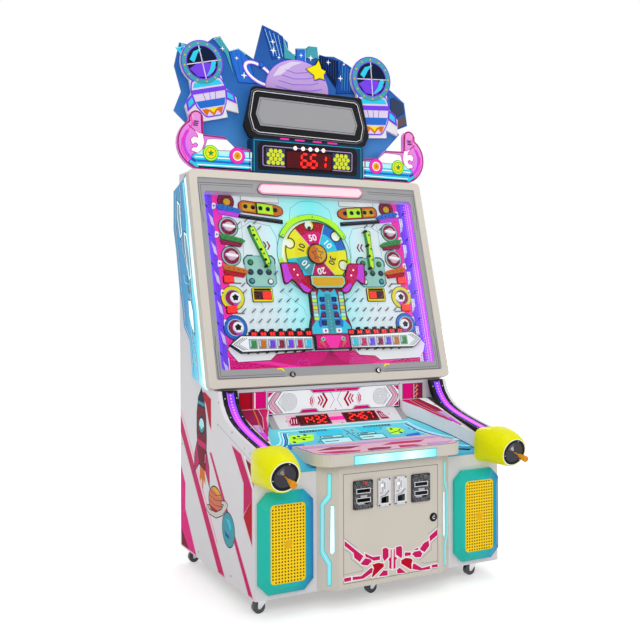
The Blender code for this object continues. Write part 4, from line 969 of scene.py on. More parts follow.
# Each numeral becomes a closed slab.
def addNumber(piece, name, text, size, centre, turn, low, high):
    points, triangles = numberShape(text, size, centre, turn)
    kind = piece.kind(name)
    start, count = len(piece.points), len(points)
    piece.points += [(*p, low) for p in points] + [(*p, high) for p in points]
    sides = {}
    for t in triangles:
        a, b, c = (Vector(points[i]) for i in t)
        order = t if (b - a).cross(c - a) > 0 else t[::-1]
        piece.faces.append([start + count + i for i in order])
        piece.faces.append([start + i for i in order[::-1]])
        piece.kinds += [kind, kind]
        for i in range(3):
            sides[(order[i], order[(i + 1) % 3])] = True
    for a, b in sides:
        if (b, a) not in sides:
            piece.faces.append([start + a, start + b, start + count + b, start + count + a])
            piece.kinds.append(kind)


# One sixth of the wheel's face with its half-round notch.
def notchedSector(s, middle, span, outer, inner, gap):
    cx, cy = s["centre"]
    reach, r = s["notchAt"], s["notch"] + gap
    halfNotch = degrees(acos((outer ** 2 + reach ** 2 - r ** 2) / (2 * outer * reach)))
    mouth = degrees(acos((outer ** 2 - reach ** 2 - r ** 2) / (2 * reach * r)))
    notch = (cx + reach * cos(radians(middle)), cy + reach * sin(radians(middle)))
    return (arc((cx, cy), outer, middle - span / 2, middle - halfNotch, 6)
            + arc(notch, r, middle - mouth, middle - 360 + mouth, 10)[1:-1]
            + arc((cx, cy), outer, middle + halfNotch, middle + span / 2, 6)
            + arc((cx, cy), inner, middle + span / 2, middle - span / 2, 6))


def prizeWheel(s):
    art = Layered("prizeWheelPrint", display, "prize_wheel", "wheel_print")
    top = s["face"]
    cx, cy = s["centre"]
    colours = ("inkRed", "wheelYellow", "inkCyan", "inkMaroon", "wheelYellow", "inkBlue")
    middles = ("inkMagenta", "inkYellow", "inkTeal", "inkPink", "inkYellow", "inkCyan")
    labels = ("50", "10", "10", "20", "30", "10")
    for k in range(6):
        middle = s["first"] + 60 * k
        art.add("inkBlack", notchedSector(s, middle, 60, s["radius"] - 0.0005, 0.03, 0.0003), top,
            top + 0.0006)
        art.add(colours[k], notchedSector(s, middle, 58.5, s["radius"] - 0.006, 0.03, 0.006), top,
            top + 0.001)
        art.add(middles[k], band((cx, cy), 0.052, 0.128, middle - 28, middle + 28, 10), top, top + 0.0013)
        centre = (cx + 0.092 * cos(radians(middle)), cy + 0.092 * sin(radians(middle)))
        addNumber(art, "inkNavy" if k in (1, 4) else "inkWhite", labels[k], 0.05, centre, middle - 90,
            top, top + 0.0018)
    for k in range(6):
        edge = radians(s["first"] + 30 + 60 * k)
        way = Vector((cos(edge), sin(edge)))
        start, end = Vector((cx, cy)) + way * 0.05, Vector((cx, cy)) + way * (s["radius"] - 0.006)
        art.line(("inkPalePink", "inkLime", "inkPaleCyan", "inkPalePink", "inkLime", "inkPaleCyan")[k],
                 [tuple(start), tuple(end)], 0.0035, top, top + 0.0016)
    for k in range(6):
        rim = notchedSector(s, s["first"] + 60 * k, 60, s["radius"] - 0.0025, 0.06, 0.0022)
        art.line("inkBlack", rim, 0.0034, top, top + 0.0015, True)
    art.add("inkBlack", disc((cx, cy), 0.0565, 40), top, top + 0.0085)
    art.add("inkOrange", disc((cx, cy), 0.0515, 40), top, top + 0.01, 0.001)
    art.add("inkGold", band((cx, cy), 0.0, 0.047, -80, 100, 16), top, top + 0.0106)
    art.line("inkBrown", star((cx, cy), 0.034, 0.016, 5), 0.004, top, top + 0.0112, True)
    art.build()
    ball = radiusBall({"radius": 0.01, "rings": 12, "sides": 20})
    angle = radians(s["first"])
    middle = s["notchAt"] - s["notch"] + 0.012
    ball.transform(display @ Matrix.Translation((cx + middle * cos(angle), cy + middle * sin(angle),
        -0.0546)))
    made = bpy.data.objects.new("caughtBall", ball)
    bpy.context.scene.collection.objects.link(made)
    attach(made, "prize_wheel")


def radiusBall(s):
    points, faces = [(0, 0, s["radius"])], []
    for i in range(1, s["rings"]):
        height, reach = s["radius"] * cos(pi * i / s["rings"]), s["radius"] * sin(pi * i / s["rings"])
        points += [(x, y, height) for x, y in disc((0, 0), reach, s["sides"])]
    points.append((0, 0, -s["radius"]))
    last = len(points) - 1
    for j in range(s["sides"]):
        k = (j + 1) % s["sides"]
        faces.append((0, 1 + j, 1 + k))
        for row in range(1, last - s["sides"], s["sides"]):
            faces.append((row + j, row + s["sides"] + j, row + s["sides"] + k, row + k))
        faces.append((last - s["sides"] + k, last - s["sides"] + j, last))
    mesh = bpy.data.meshes.new("ball")
    mesh.from_pydata(points, [], faces)
    mesh.shade_smooth()
    mesh.materials.append(finishes["screwBlack"])
    return mesh


# White ring and lime arc behind the wheel, pink wings, plaque, and the tower below.
def wheelSurround(s):
    ring = Layered("wheelSurround", display, "cabinet", "pink_plastic")
    cx, cy = s["centre"]
    c = (cx - 0.006, cy)
    low = face
    ring.add("inkBlack", disc(c, 0.2215, 64), low, low + 0.0008)
    ring.add("inkPaleCyan", disc(c, 0.2185, 64), low, low + 0.0012)
    ring.add("inkWhite", disc(c, 0.1935, 64), low, low + 0.0016)
    arcPoints = band(c, 0.1985, 0.226, 27, 153, 30)
    bordered(ring, "inkLime", arcPoints, low, low + 0.014, "inkGreen", 0.0012, 0.0015)
    for angle in (55, 122):
        ring.add("inkLime", band(c, 0.205, 0.233, angle - 9, angle + 9, 8), low, low + 0.0145, 0.001)
    for angle in (30, 88, 150):
        ring.add("inkGreen", disc((c[0] + 0.212 * cos(radians(angle)), c[1] + 0.212 * sin(radians(angle))),
            0.0035, 10), low, low + 0.0152)
    for angle in (191, -10):
        ring.add("inkLime", band(c, 0.192, 0.216, angle - 5, angle + 5, 6), low, low + 0.003)
    # wings
    wing = mm(-226, 646, -134, 647, -121, 627, -102, 573, -76, 579, -60, 544, -57, 519, -68, 496, -89, 484,
        -114, 493, -137, 525, -156, 547, -175, 560, -194, 541, -212, 534, -219, 548)
    lowWing, highWing = -0.044, -0.034
    for side, dx in ((-1, 0.0), (1, 0.046)):
        def put(points):
            return [(-side * x + dx, v) for x, v in points]
        bordered(ring, "inkPink", soften(put(wing), 0.006), lowWing, highWing, "inkBlack", 0.004, 0.001)
        ring.add("inkViolet", put(mm(-222, 643, -190, 644, -184, 600, -166, 562, -176, 563, -194, 545,
            -209, 540, -215, 552)), lowWing, highWing + 0.0004)
        ring.add("inkRed", put(mm(-100, 570, -78, 575, -63, 544, -60, 520, -70, 500, -80, 510, -128, 545)),
            lowWing, highWing + 0.0004)
        ring.add("inkViolet", put(mm(-70, 500, -89, 488, -112, 497, -133, 526, -126, 542, -82, 510)),
            lowWing, highWing + 0.0005)
        for x, v in ((-0.155, 0.612), (-0.138, 0.582)):
            ring.add("lampWarm", disc((-side * x + dx, v), 0.0045, 12), lowWing, highWing + 0.0016, 0.0006)
        # post that carries the wing off the board
        ring.add("inkWhite", disc((-side * -0.155 + dx, 0.596), 0.006, 10), low, lowWing)
        ring.add("inkWhite", disc((-side * -0.09 + dx, 0.52), 0.006, 10), low, lowWing)
    # blank plaque over the wheel's foot
    plaque = mm(-66, 576, 124, 578, 137, 566, 137, 534, 114, 512, -38, 510, -66, 530)
    lowPlaque, highPlaque = -0.037, -0.026
    bordered(ring, "inkMint", plaque, lowPlaque, highPlaque, "inkBlack", 0.004, 0.001)
    ring.add("inkGold", inset(plaque, 0.009), lowPlaque, highPlaque + 0.0008, 0.0004)
    ring.add("inkWhite", disc((0.115, 0.54), 0.005, 10), low, lowPlaque)
    ring.add("inkWhite", disc((-0.048, 0.522), 0.005, 10), low, lowPlaque)
    ring.build()
    tower = Layered("ballTower", display, "cabinet", "pink_plastic")
    x = 0.026
    low, high = face, -0.04
    outline = mm(-98, 514, 98, 514, 100, 365, 112, 330, 120, 300, 120, 262, 100, 256, 100, 186, -100, 186,
        -100, 256, -120, 262, -120, 300, -112, 330, -100, 365)
    bordered(tower, "inkMaroon", shift(outline, x, 0), low, high, "inkBlack", 0.003, 0.001)
    tower.add("inkCyan", shift(mm(-45, 512, 45, 512, 60, 470, 62, 370, 85, 338, 115, 300, 115, 266, -115,
        266, -115, 300, -85, 338, -62, 370, -60, 470), x, 0), low, high + 0.0006)
    tower.add("inkBlue", shift(mm(-45, 465, 45, 465, 50, 372, 75, 330, 70, 300, -70, 300, -75, 330, -50,
        372), x, 0), low, high + 0.001)
    tower.add("inkTeal", shift(mm(-18, 480, 18, 480, 26, 270, -26, 270), x, 0), low, high + 0.0014)
    tower.add("inkMaroon", shift(mm(-55, 516, 55, 516, 20, 488, 0, 502, -20, 488), x, 0), low, high + 0.0016)
    tower.add("inkBlack", shift(mm(-16, 516, 16, 516, 0, 496), x, 0), low, high + 0.002)
    for side in (-1, 1):
        for k in range(8):
            v = 0.492 - 0.0195 * k
            bordered(tower, ("inkMint", "inkPaleCyan", "inkLime", "inkMint", "inkYellow", "inkMint",
                "inkPaleCyan", "inkLime")[k], shift(block(*sorted((side * 0.068, side * 0.094))[:1],
                v - 0.017, sorted((side * 0.068, side * 0.094))[1], v), x, 0), low, high + 0.0012,
                "inkSlate", 0.0012)
        for k in range(4):
            v = 0.451 - 0.0425 * k
            px = x + side * (0.037 + 0.001 * k)
            tower.add("inkNavy", soften(block(px - 0.0135, v - 0.012, px + 0.0135, v + 0.012), 0.003), low,
                high + 0.003)
            tower.add("inkMaroon" if k in (1, 2) else "inkDeepBlue",
                block(px - 0.0095, v - 0.008, px + 0.0095, v + 0.008), low, high + 0.0034)
            tower.line("ledCyan", [(px - 0.016, v - 0.02), (px + 0.016, v - 0.02)], 0.0018, low,
                high + 0.003)
        tower.add("inkWhite", soften(block(x + side * 0.04 - 0.016, 0.268, x + side * 0.04 + 0.016,
            0.292), 0.004), low, high + 0.006, 0.001)
        tower.add("inkMaroon", disc((x + side * 0.04, 0.28), 0.006, 12), low, high + 0.0066)
    tower.add("inkMagenta", shift(mm(-97, 255, 97, 255, 97, 188, -97, 188), x, 0), low, high + 0.0008)
    tower.add("inkHotPink", shift(mm(-60, 255, 60, 255, 20, 188, -20, 188), x, 0), low, high + 0.0012)
    for side in (-1, 1):
        tower.add("inkOrange", [(x + side * 0.062, 0.232), (x + side * 0.082, 0.222),
            (x + side * 0.048, 0.192)], low, high + 0.002)
        tower.add("inkMint", disc((x + side * 0.06, 0.236), 0.012, 14), low, high + 0.006, 0.002)
        tower.add("inkNavy", disc((x + side * 0.06, 0.236), 0.0045, 10), low, high + 0.0066)
    for k in range(10):
        tower.add("ledWhite", disc((x, 0.275 + 0.0185 * k), 0.0016, 8), low, high + 0.002)
    tower.build()


# Two ticket trays with seven coloured pockets and red counters over them.
def scoreTrays():
    trays = Layered("scoreTrays", display, "cabinet", "pink_plastic")
    low, high = face, -0.034
    colours = ("inkGreen", "inkOrange", "inkPurple", "inkMaroon", "inkPurple", "inkPink", "inkCyan")
    for side in (-1, 1):
        tip, start = (-0.548, -0.492) if side < 0 else (0.574, 0.52)
        end = -0.098 if side < 0 else 0.128
        bar = [(tip, 0.222), (start, 0.262), (end, 0.25), (end, 0.187), (start, 0.182)]
        bordered(trays, "inkWhite", bar, low, high, "inkBlack", 0.0035, 0.0008)
        for k in range(3):
            shiftX = -side * 0.013 * (k + 1)
            trays.line("inkBlack", [(start + shiftX * 0.9 - side * -0.004, 0.252), (tip + shiftX, 0.222),
                (start + shiftX * 0.9 - side * -0.004, 0.19)], 0.0028 if k == 0 else 0.002, low,
                high + 0.0005)
        first = start - side * 0.036
        width = (end - first) / 7
        for k in range(7):
            x0, x1 = sorted((first + width * k + width * 0.07, first + width * (k + 1) - width * 0.07))
            v = 0.2195 - 0.0006 * k
            bordered(trays, "inkPaleGrey", block(x0, v - 0.024, x1, v + 0.025), low, high + 0.0006,
                "inkSlate", 0.0014)
            trays.add(colours[k], soften(block(x0 + 0.006, v - 0.021, x1 - 0.006, v + 0.018), 0.006), low,
                high + 0.006, 0.002)
            # a pale strip down the left edge of each pocket is a painted highlight
            trays.add("inkPaleCyan", block(x0 + 0.004, v - 0.012, x0 + 0.008, v + 0.016), low, high + 0.0068)
            trays.line("inkBlack", [(x0 - 0.002, 0.186), (x0 - 0.002, 0.174)], 0.004, low, high)
            # counter with its two legs
            middle = (x0 + x1) / 2 - side * 0.012
            trays.add("inkBlack", block(middle - 0.021, 0.256, middle + 0.018, 0.287), low, high - 0.004)
            trays.add("inkBlack", block(middle - 0.008, 0.28, middle + 0.01, 0.299), low, high - 0.01)
            trays.add("inkRed", block(middle - 0.017, 0.259, middle + 0.014, 0.282), low, high - 0.0032)
            for shiftX in (-0.009, 0.0055):
                trays.add("ledRed", block(middle + shiftX - 0.0045, 0.262, middle + shiftX + 0.0045,
                    0.279), low, high - 0.0024)
    trays.build()


# Lit strips with a row of small lamps on the inner side walls of the playfield box.
def sideWallGlow():
    for side, word in leftRight:
        origin = display @ Vector((side * 0.6247, 0, 0))
        place = placeFrom(origin, display.col[1][:3], display.col[2][:3], (-side, 0, 0))
        strip = Layered(f"wallGlow.{word}", place, "cabinet", "light_trim")
        strip.add("ledMagenta", block(0.09, -0.064, 1.014, -0.02), 0, 0.0008)
        for k in range(58):
            v = 0.102 + k * 0.0158
            strip.add("inkWhite", block(v - 0.0036, -0.045, v + 0.0036, -0.037), 0, 0.0018)
        strip.build()
    lampsRow = Layered("fieldLampRow", display, "cabinet", "light_trim")
    for k in range(58):
        v = 0.102 + k * 0.0158
        lampsRow.add("ledPink", disc((0.6115, v), 0.0028, 8), face, face + 0.003)
        if k % 10 < 3:
            lampsRow.add("inkWhite", block(0.566, v - 0.006, 0.586, v + 0.008), face, face + 0.002)
            lampsRow.add("inkDeepBlue", block(0.572, v - 0.002, 0.58, v + 0.002), face, face + 0.0024)
    lampsRow.build()


fieldPrint()
steelDashes()
fieldPlastics()
slantBars()
prizeWheel(wheel)
wheelSurround(wheel)
scoreTrays()
sideWallGlow()
print("playfield")


# ---- display frame: title pill, two locks and engraved lines
def displayFrame():
    trim = Layered("displayFrameTrim", display, "display_door", "grey_bezel")
    pill = soften(mm(-328, 1036, -304, 1070, 290, 1078, 312, 1048, 280, 1017, -306, 1012), 0.014, 5)
    low = -0.007
    trim.add("bezelLine", inset(pill, -0.004), low, low + 0.003)
    trim.add("inkPalePink", pill, low, low + 0.0092, 0.0012)
    trim.line("inkHotPink", inset(pill, 0.0045), 0.0024, low, low + 0.0096, True)
    trim.add("labelPink", inset(pill, 0.007), low, low + 0.0098)
    for side in (-1, 1):
        def mirror(points):
            return [(x * side, v) for x, v in points]
        lines = ((mm(-648, 905, -650, 1060, -345, 1062), 0.003),
            (mm(-636, 935, -638, 1049, -348, 1050), 0.0018), (mm(-646, 205, -642, 48, -290, 46), 0.003),
            (mm(-633, 180, -630, 60, -294, 58), 0.0018), (mm(-648, 905, -640, 890, -640, 845), 0.0022),
            (mm(-646, 205, -640, 220, -640, 262), 0.0022))
        for points, width in lines:
            trim.line("bezelLine", mirror(points), width, low, low + 0.0004)
        trim.add("inkYellow", mirror(mm(-330, 87.5, -300, 88.5, -288, 72, -298, 72, -306, 81, -328, 81)),
            low, low + 0.0008)
        trim.add("blackPlastic", disc((side * 0.25, 0.052), 0.0145, 24), low, 0.003, 0.001)
        trim.add("chrome", band((side * 0.25, 0.052), 0.0062, 0.0088, 40, 320, 16), low, 0.0036)
        trim.add("chrome", disc((side * 0.25, 0.052), 0.003, 12), low, 0.0036)
    trim.build()


# ---- light plates beside the display
def sideLights():
    for side, word in leftRight:
        art = Layered(f"sideLightPrint.{word}", sidePlace(side * 0.6953, side), "cabinet", "side_light")
        top, low = 0.0014, -0.0005
        def edgeAt(z):
            return 0.498 + (z - 0.948) * (0.789 - 0.498) / (2.022 - 0.948)
        art.add("ledWhite", [(edgeAt(z) + dy, z) for z, dy in ((0.96, 0.006), (2.01, 0.006),
            (2.0, 0.034), (1.76, 0.03), (1.7, 0.044), (1.42, 0.044), (1.36, 0.03), (1.18, 0.028),
            (1.12, 0.04), (0.99, 0.036))], low, top - 0.0004)
        art.add("ledCyan", [(edgeAt(z) + dy, z) for z, dy in ((1.0, 0.046), (1.12, 0.052),
            (1.19, 0.04), (1.35, 0.042), (1.415, 0.058), (1.705, 0.058), (1.765, 0.042), (1.985, 0.046),
            (1.985, 0.064), (1.78, 0.062), (1.715, 0.078), (1.405, 0.078), (1.345, 0.062), (1.2, 0.06),
            (1.13, 0.07), (1.01, 0.064))], low, top - 0.0004)
        zig = [(edgeAt(0.985) + 0.1, 0.985), (edgeAt(1.1) + 0.105, 1.1), (edgeAt(1.18) + 0.135, 1.18),
            (edgeAt(1.3) + 0.135, 1.3), (edgeAt(1.4) + 0.095, 1.4), (edgeAt(1.52) + 0.1, 1.52),
            (edgeAt(1.64) + 0.15, 1.64), (edgeAt(1.8) + 0.15, 1.8), (edgeAt(1.9) + 0.11, 1.9),
            (edgeAt(1.97) + 0.11, 1.97)]
        art.line("inkNavy", zig, 0.0075, low, top - 0.0006)
        art.line("inkWhite", zig, 0.004, low, top - 0.0003)
        back = mm(706, 1020, 744, 1185, 826, 1250, 850, 1362, 878, 1420, 934, 1640, 972, 1755, 972, 1935)
        art.line("inkNavy", [(y - 0.022, z) for y, z in back], 0.007, low, top - 0.0006)
        art.line("inkWhite", [(y - 0.022, z) for y, z in back], 0.0035, low, top - 0.0003)
        for shape, inside in ((mm(712, 1500, 744, 1480, 806, 1640, 820, 1730, 780, 1715, 730, 1590),
                "steelBlue"), (mm(668, 1215, 700, 1240, 742, 1300, 756, 1380, 720, 1375, 686, 1320),
                "ledWhite"), (mm(850, 1720, 882, 1700, 930, 1820, 930, 1900, 890, 1880), "steelBlue")):
            art.add("inkNavy", inset(shape, -0.005), low, top - 0.0008)
            art.add("ledWhite", shape, low, top - 0.0003)
            art.add(inside, inset(shape, 0.0085), low, top - 0.0001)
        for k in range(7):
            z = 1.405 + 0.013 * k
            art.line("inkSlate", [(0.7 + 0.004 * k, z), (0.76 + 0.004 * k, z + 0.02)], 0.004, low,
                top - 0.0004)
        for z, reach in ((1.06, 0.03), (1.46, 0.06), (1.86, 0.045)):
            start = edgeAt(z) + 0.115
            art.line("inkPaleCyan", [(start, z), (start + reach, z + 0.012),
                (start + reach + 0.014, z + 0.05)], 0.003, low, top - 0.0003)
        art.build()


# ---- printed art on the side panels
sideArt = {
    "inkRed": (mm(618, 925, 533, 899, 534, 753, 558, 775, 602, 868, 680, 920),
               mm(125, 415, 117, 431, 30, 512, 32, 311)),
    "inkPink": (mm(990, 766, 990, 681, 441, 84, 362, 84),
                mm(553, 636, 531, 639, 26, 84, 74, 84),
                mm(261, 714, 123, 567, 125, 429, 30, 512, 30, 561, 155, 692)),
    "inkMagenta": (mm(990, 502, 922, 419, 924, 285, 757, 84, 880, 84, 985, 84, 990, 173),),
    "inkDarkRed": (mm(100, 678, 12, 661, 12, 571, 29, 599),
                   mm(985, 173, 870, 84, 985, 84))}


def sidePanels():
    for side, word in leftRight:
        art = Layered(f"sideArt.{word}", sidePlace(side * 0.66, side), "cabinet", "white_laminate")
        for k, (name, shapes) in enumerate(sideArt.items()):
            for shape in shapes:
                art.add("inkPalePink", inset(shape, -0.006), -0.0002, 0.0001 + 0.00002 * k)
                art.add(name, shape, -0.0002, 0.00022 + 0.00002 * k)
        art.line("inkWhite", [(0.02, 0.56), (0.112, 0.69)], 0.006, -0.0002, 0.0003)
        art.line("inkHotPink", mm(990, 800, 980, 792, 455, 220), 0.005, -0.0002, 0.0002)
        # plain rocket with a window, fins and a flame
        rocket = mm(668, 935, 632, 885, 606, 800, 600, 700, 606, 600, 620, 540, 700, 560, 722, 620, 735,
            720, 733, 810, 712, 890)
        for fin in (mm(606, 650, 566, 560, 560, 470, 618, 545), mm(730, 670, 770, 600, 776, 510, 704, 565)):
            art.add("inkNavy", inset(fin, -0.006), -0.0002, 0.0003)
            art.add("inkPink", fin, -0.0002, 0.00034)
        art.add("inkOrange", mm(626, 536, 612, 470, 640, 490, 652, 420, 670, 494, 698, 470, 694, 556),
            -0.0002, 0.00032)
        art.add("inkNavy", inset(rocket, -0.006), -0.0002, 0.00036)
        art.add("inkDarkRed", rocket, -0.0002, 0.0004)
        art.add("inkNavy", mm(668, 935, 632, 885, 618, 842, 724, 850, 712, 890), -0.0002, 0.00044)
        art.add("inkTeal", mm(626, 868, 621, 852, 722, 860, 718, 876), -0.0002, 0.00048)
        art.add("inkNavy", disc((0.668, 0.755), 0.046, 28), -0.0002, 0.00044)
        art.add("inkPaleCyan", disc((0.668, 0.755), 0.036, 28), -0.0002, 0.00048)
        art.add("inkTeal", band((0.668, 0.755), 0.018, 0.036, 190, 350, 14), -0.0002, 0.00052)
        art.add("inkPink", mm(603, 670, 602, 640, 726, 655, 730, 684), -0.0002, 0.00044)
        art.line("inkPalePink", [(0.614, 0.62), (0.62, 0.575)], 0.006, -0.0002, 0.00044)
        # ringed planet and blue moon
        planet = oval((0.479, 0.417), 0.088, 0.066, 30)
        art.add("inkNavy", inset(planet, -0.0055), -0.0002, 0.0003)
        art.add("orangeBand", planet, -0.0002, 0.00036)
        art.add("inkGold", mm(402, 440, 430, 472, 490, 482, 520, 470, 450, 452), -0.0002, 0.0004)
        for z in (0.378, 0.402, 0.428, 0.452):
            reach = sqrt(max(1 - ((z - 0.417) / 0.066) ** 2, 0.05)) * 0.088
            art.line("inkDarkRed", [(0.479 - reach, z + 0.004), (0.479, z - 0.008),
                (0.479 + reach, z + 0.004)], 0.003, -0.0002, 0.00042)
        art.add("inkRed", mm(420, 372, 560, 385, 548, 366, 500, 352, 450, 354), -0.0002, 0.0004)
        ring = mm(598, 352, 560, 338, 470, 338, 390, 366, 330, 412, 322, 430, 345, 440, 395, 432, 395, 420,
            365, 422, 395, 392, 470, 362, 560, 358, 575, 366, 565, 380, 590, 372)
        art.add("inkNavy", inset(ring, -0.0045), -0.0002, 0.00044)
        art.add("creamPlastic", ring, -0.0002, 0.0005)
        moon = oval((0.31, 0.316), 0.076, 0.078, 30)
        art.add("inkNavy", inset(moon, -0.005), -0.0002, 0.0003)
        art.add("inkTeal", moon, -0.0002, 0.00036)
        art.add("inkCyan", mm(270, 330, 300, 365, 345, 362, 310, 345, 290, 318), -0.0002, 0.0004)
        art.add("inkRoyal", mm(290, 275, 345, 280, 365, 310, 340, 296, 305, 290), -0.0002, 0.0004)
        # seam of the front trim and its screws
        art.line("inkGrey", [(0.433, 0.787), (0.011, 0.672)], 0.0016, -0.0002, 0.00026)
        for y, z in ((0.443, 0.786), (0.26, 0.775), (0.113, 0.724), (0.051, 0.71), (0.427, 0.894),
                (0.72, 0.11), (0.28, 0.11), (0.968, 0.62)):
            art.add("screwSteel", disc((y, z), 0.0055, 14), -0.0002, 0.0012, 0.0006)
            art.add("inkBlack", block(y - 0.0028, z - 0.0006, y + 0.0028, z + 0.0006), -0.0002, 0.00126)
        art.build()


# ---- lit trims that sweep from the display down to the plungers
trimCurve = mm(12, 731, 44, 739, 130, 757, 221, 778, 290, 798, 341, 819, 380, 848, 412, 882, 428, 912, 438,
    938)


def ledTrims():
    for side, word in leftRight:
        strip = Layered(f"trimStrip.{word}", Matrix.Identity(4), "cabinet", "light_trim")
        lengths, total = [0.0], 0.0
        for (y0, z0), (y1, z1) in zip(trimCurve, trimCurve[1:]):
            total += hypot(y1 - y0, z1 - z0)
            lengths.append(total)
        for a, b in zip(lengths, lengths[1:]):
            strip.add("trimGlow", block(0.0205, a, 0.056, b), -0.0003, 0.0006)
            strip.add("ledViolet", block(0.0205, a, 0.0232, b), -0.0003, 0.0009)
            strip.add("ledMagenta", block(0.0533, a, 0.056, b), -0.0003, 0.0009)
        for k in range(int(total / 0.0158)):
            strip.add("ledPink", disc((0.0385, 0.009 + k * 0.0158), 0.0036, 8), -0.0003, 0.0013)
        for k in range(5):
            for x in (0.0085, 0.069):
                strip.add("screwSteel", disc((x, 0.03 + k * (total - 0.06) / 4), 0.0036, 10), -0.0003, 0.0013)
                strip.add("inkWhite", disc((x, 0.03 + k * (total - 0.06) / 4), 0.0014, 6), -0.0003, 0.0015)
        bendStrip(strip, lengths, side)
        strip.build()


# Lays flat (across, along) points over the trim's top curve.
def bendStrip(strip, lengths, side):
    edge = 0.56
    bent = []
    for x, along, high in strip.points:
        k = max(i for i in range(len(lengths) - 1) if lengths[i] <= along + 1e-9)
        (y0, z0), (y1, z1) = trimCurve[k], trimCurve[k + 1]
        share = (along - lengths[k]) / (lengths[k + 1] - lengths[k])
        length = hypot(y1 - y0, z1 - z0)
        nY, nZ = -(z1 - z0) / length, (y1 - y0) / length
        lift = high + 0.0002
        bent.append((side * (edge + x), frontY + y0 + (y1 - y0) * share + nY * lift,
            z0 + (z1 - z0) * share + nZ * lift))
    strip.points = bent
    if side < 0:
        strip.faces = [face[::-1] for face in strip.faces]


displayFrame()
sideLights()
sidePanels()
ledTrims()
print("frame, light plates and side panels")


# ---- marquee: skyline board, planet, wings, box, title and pods
skyline = {
    "inkRoyal": (mm(-245, 2852, -160, 2824, -126, 2810, -120, 2700, -190, 2677),
                 mm(234, 2716, 273, 2706, 314, 2683, 319, 2545, 201, 2532, 223, 2660)),
    "inkTeal": (mm(-124, 2808, -99, 2746, -50, 2715, -46, 2690, -118, 2690),
                mm(34, 2778, 85, 2780, 93, 2716, 12, 2707, 15, 2761),
                mm(-526, 2742, -488, 2760, -441, 2700, -410, 2560, -458, 2672)),
    "inkBlue": (mm(-44, 2753, 11, 2761, 12, 2690, -46, 2690),
                mm(-437, 2692, -382, 2711, -343, 2685, -321, 2657, -282, 2537, -386, 2531, -420, 2622)),
    "inkNavy": (mm(98, 2738, 221, 2721, 221, 2660, 201, 2561, 98, 2684),),
    "inkCyan": (mm(-705, 2702, -669, 2688, -728, 2672, -704, 2645),),
    "inkSlate": (mm(590, 2552, 648, 2522, 660, 2468, 600, 2430, 560, 2470, 560, 2540),),
    "inkBrown": (mm(600, 2424, 662, 2460, 668, 2396, 604, 2368, 570, 2400),)}
sparkles = ((-0.182, 2.727, 0.02), (-0.149, 2.693, 0.012), (-0.015, 2.721, 0.013), (0.045, 2.714, 0.018),
    (-0.353, 2.573, 0.02), (0.154, 2.703, 0.015), (0.231, 2.622, 0.018), (0.254, 2.703, 0.01),
    (-0.185, 2.773, 0.015), (-0.475, 2.7, 0.012), (-0.395, 2.66, 0.012))


# An oval ring seen at a slant: outer outline, then its hole.
def tiltedRing(centre, wide, tall, lean, thick, grow):
    turn = Matrix.Rotation(radians(lean), 2)
    loops = []
    for a, b in ((wide + grow, tall + grow), (wide + grow - thick, tall + grow - thick * 0.8)):
        loops.append([tuple(turn @ Vector((a * cos(2 * pi * k / 36), b * sin(2 * pi * k / 36)))
            + Vector(centre)) for k in range(36)])
    return loops


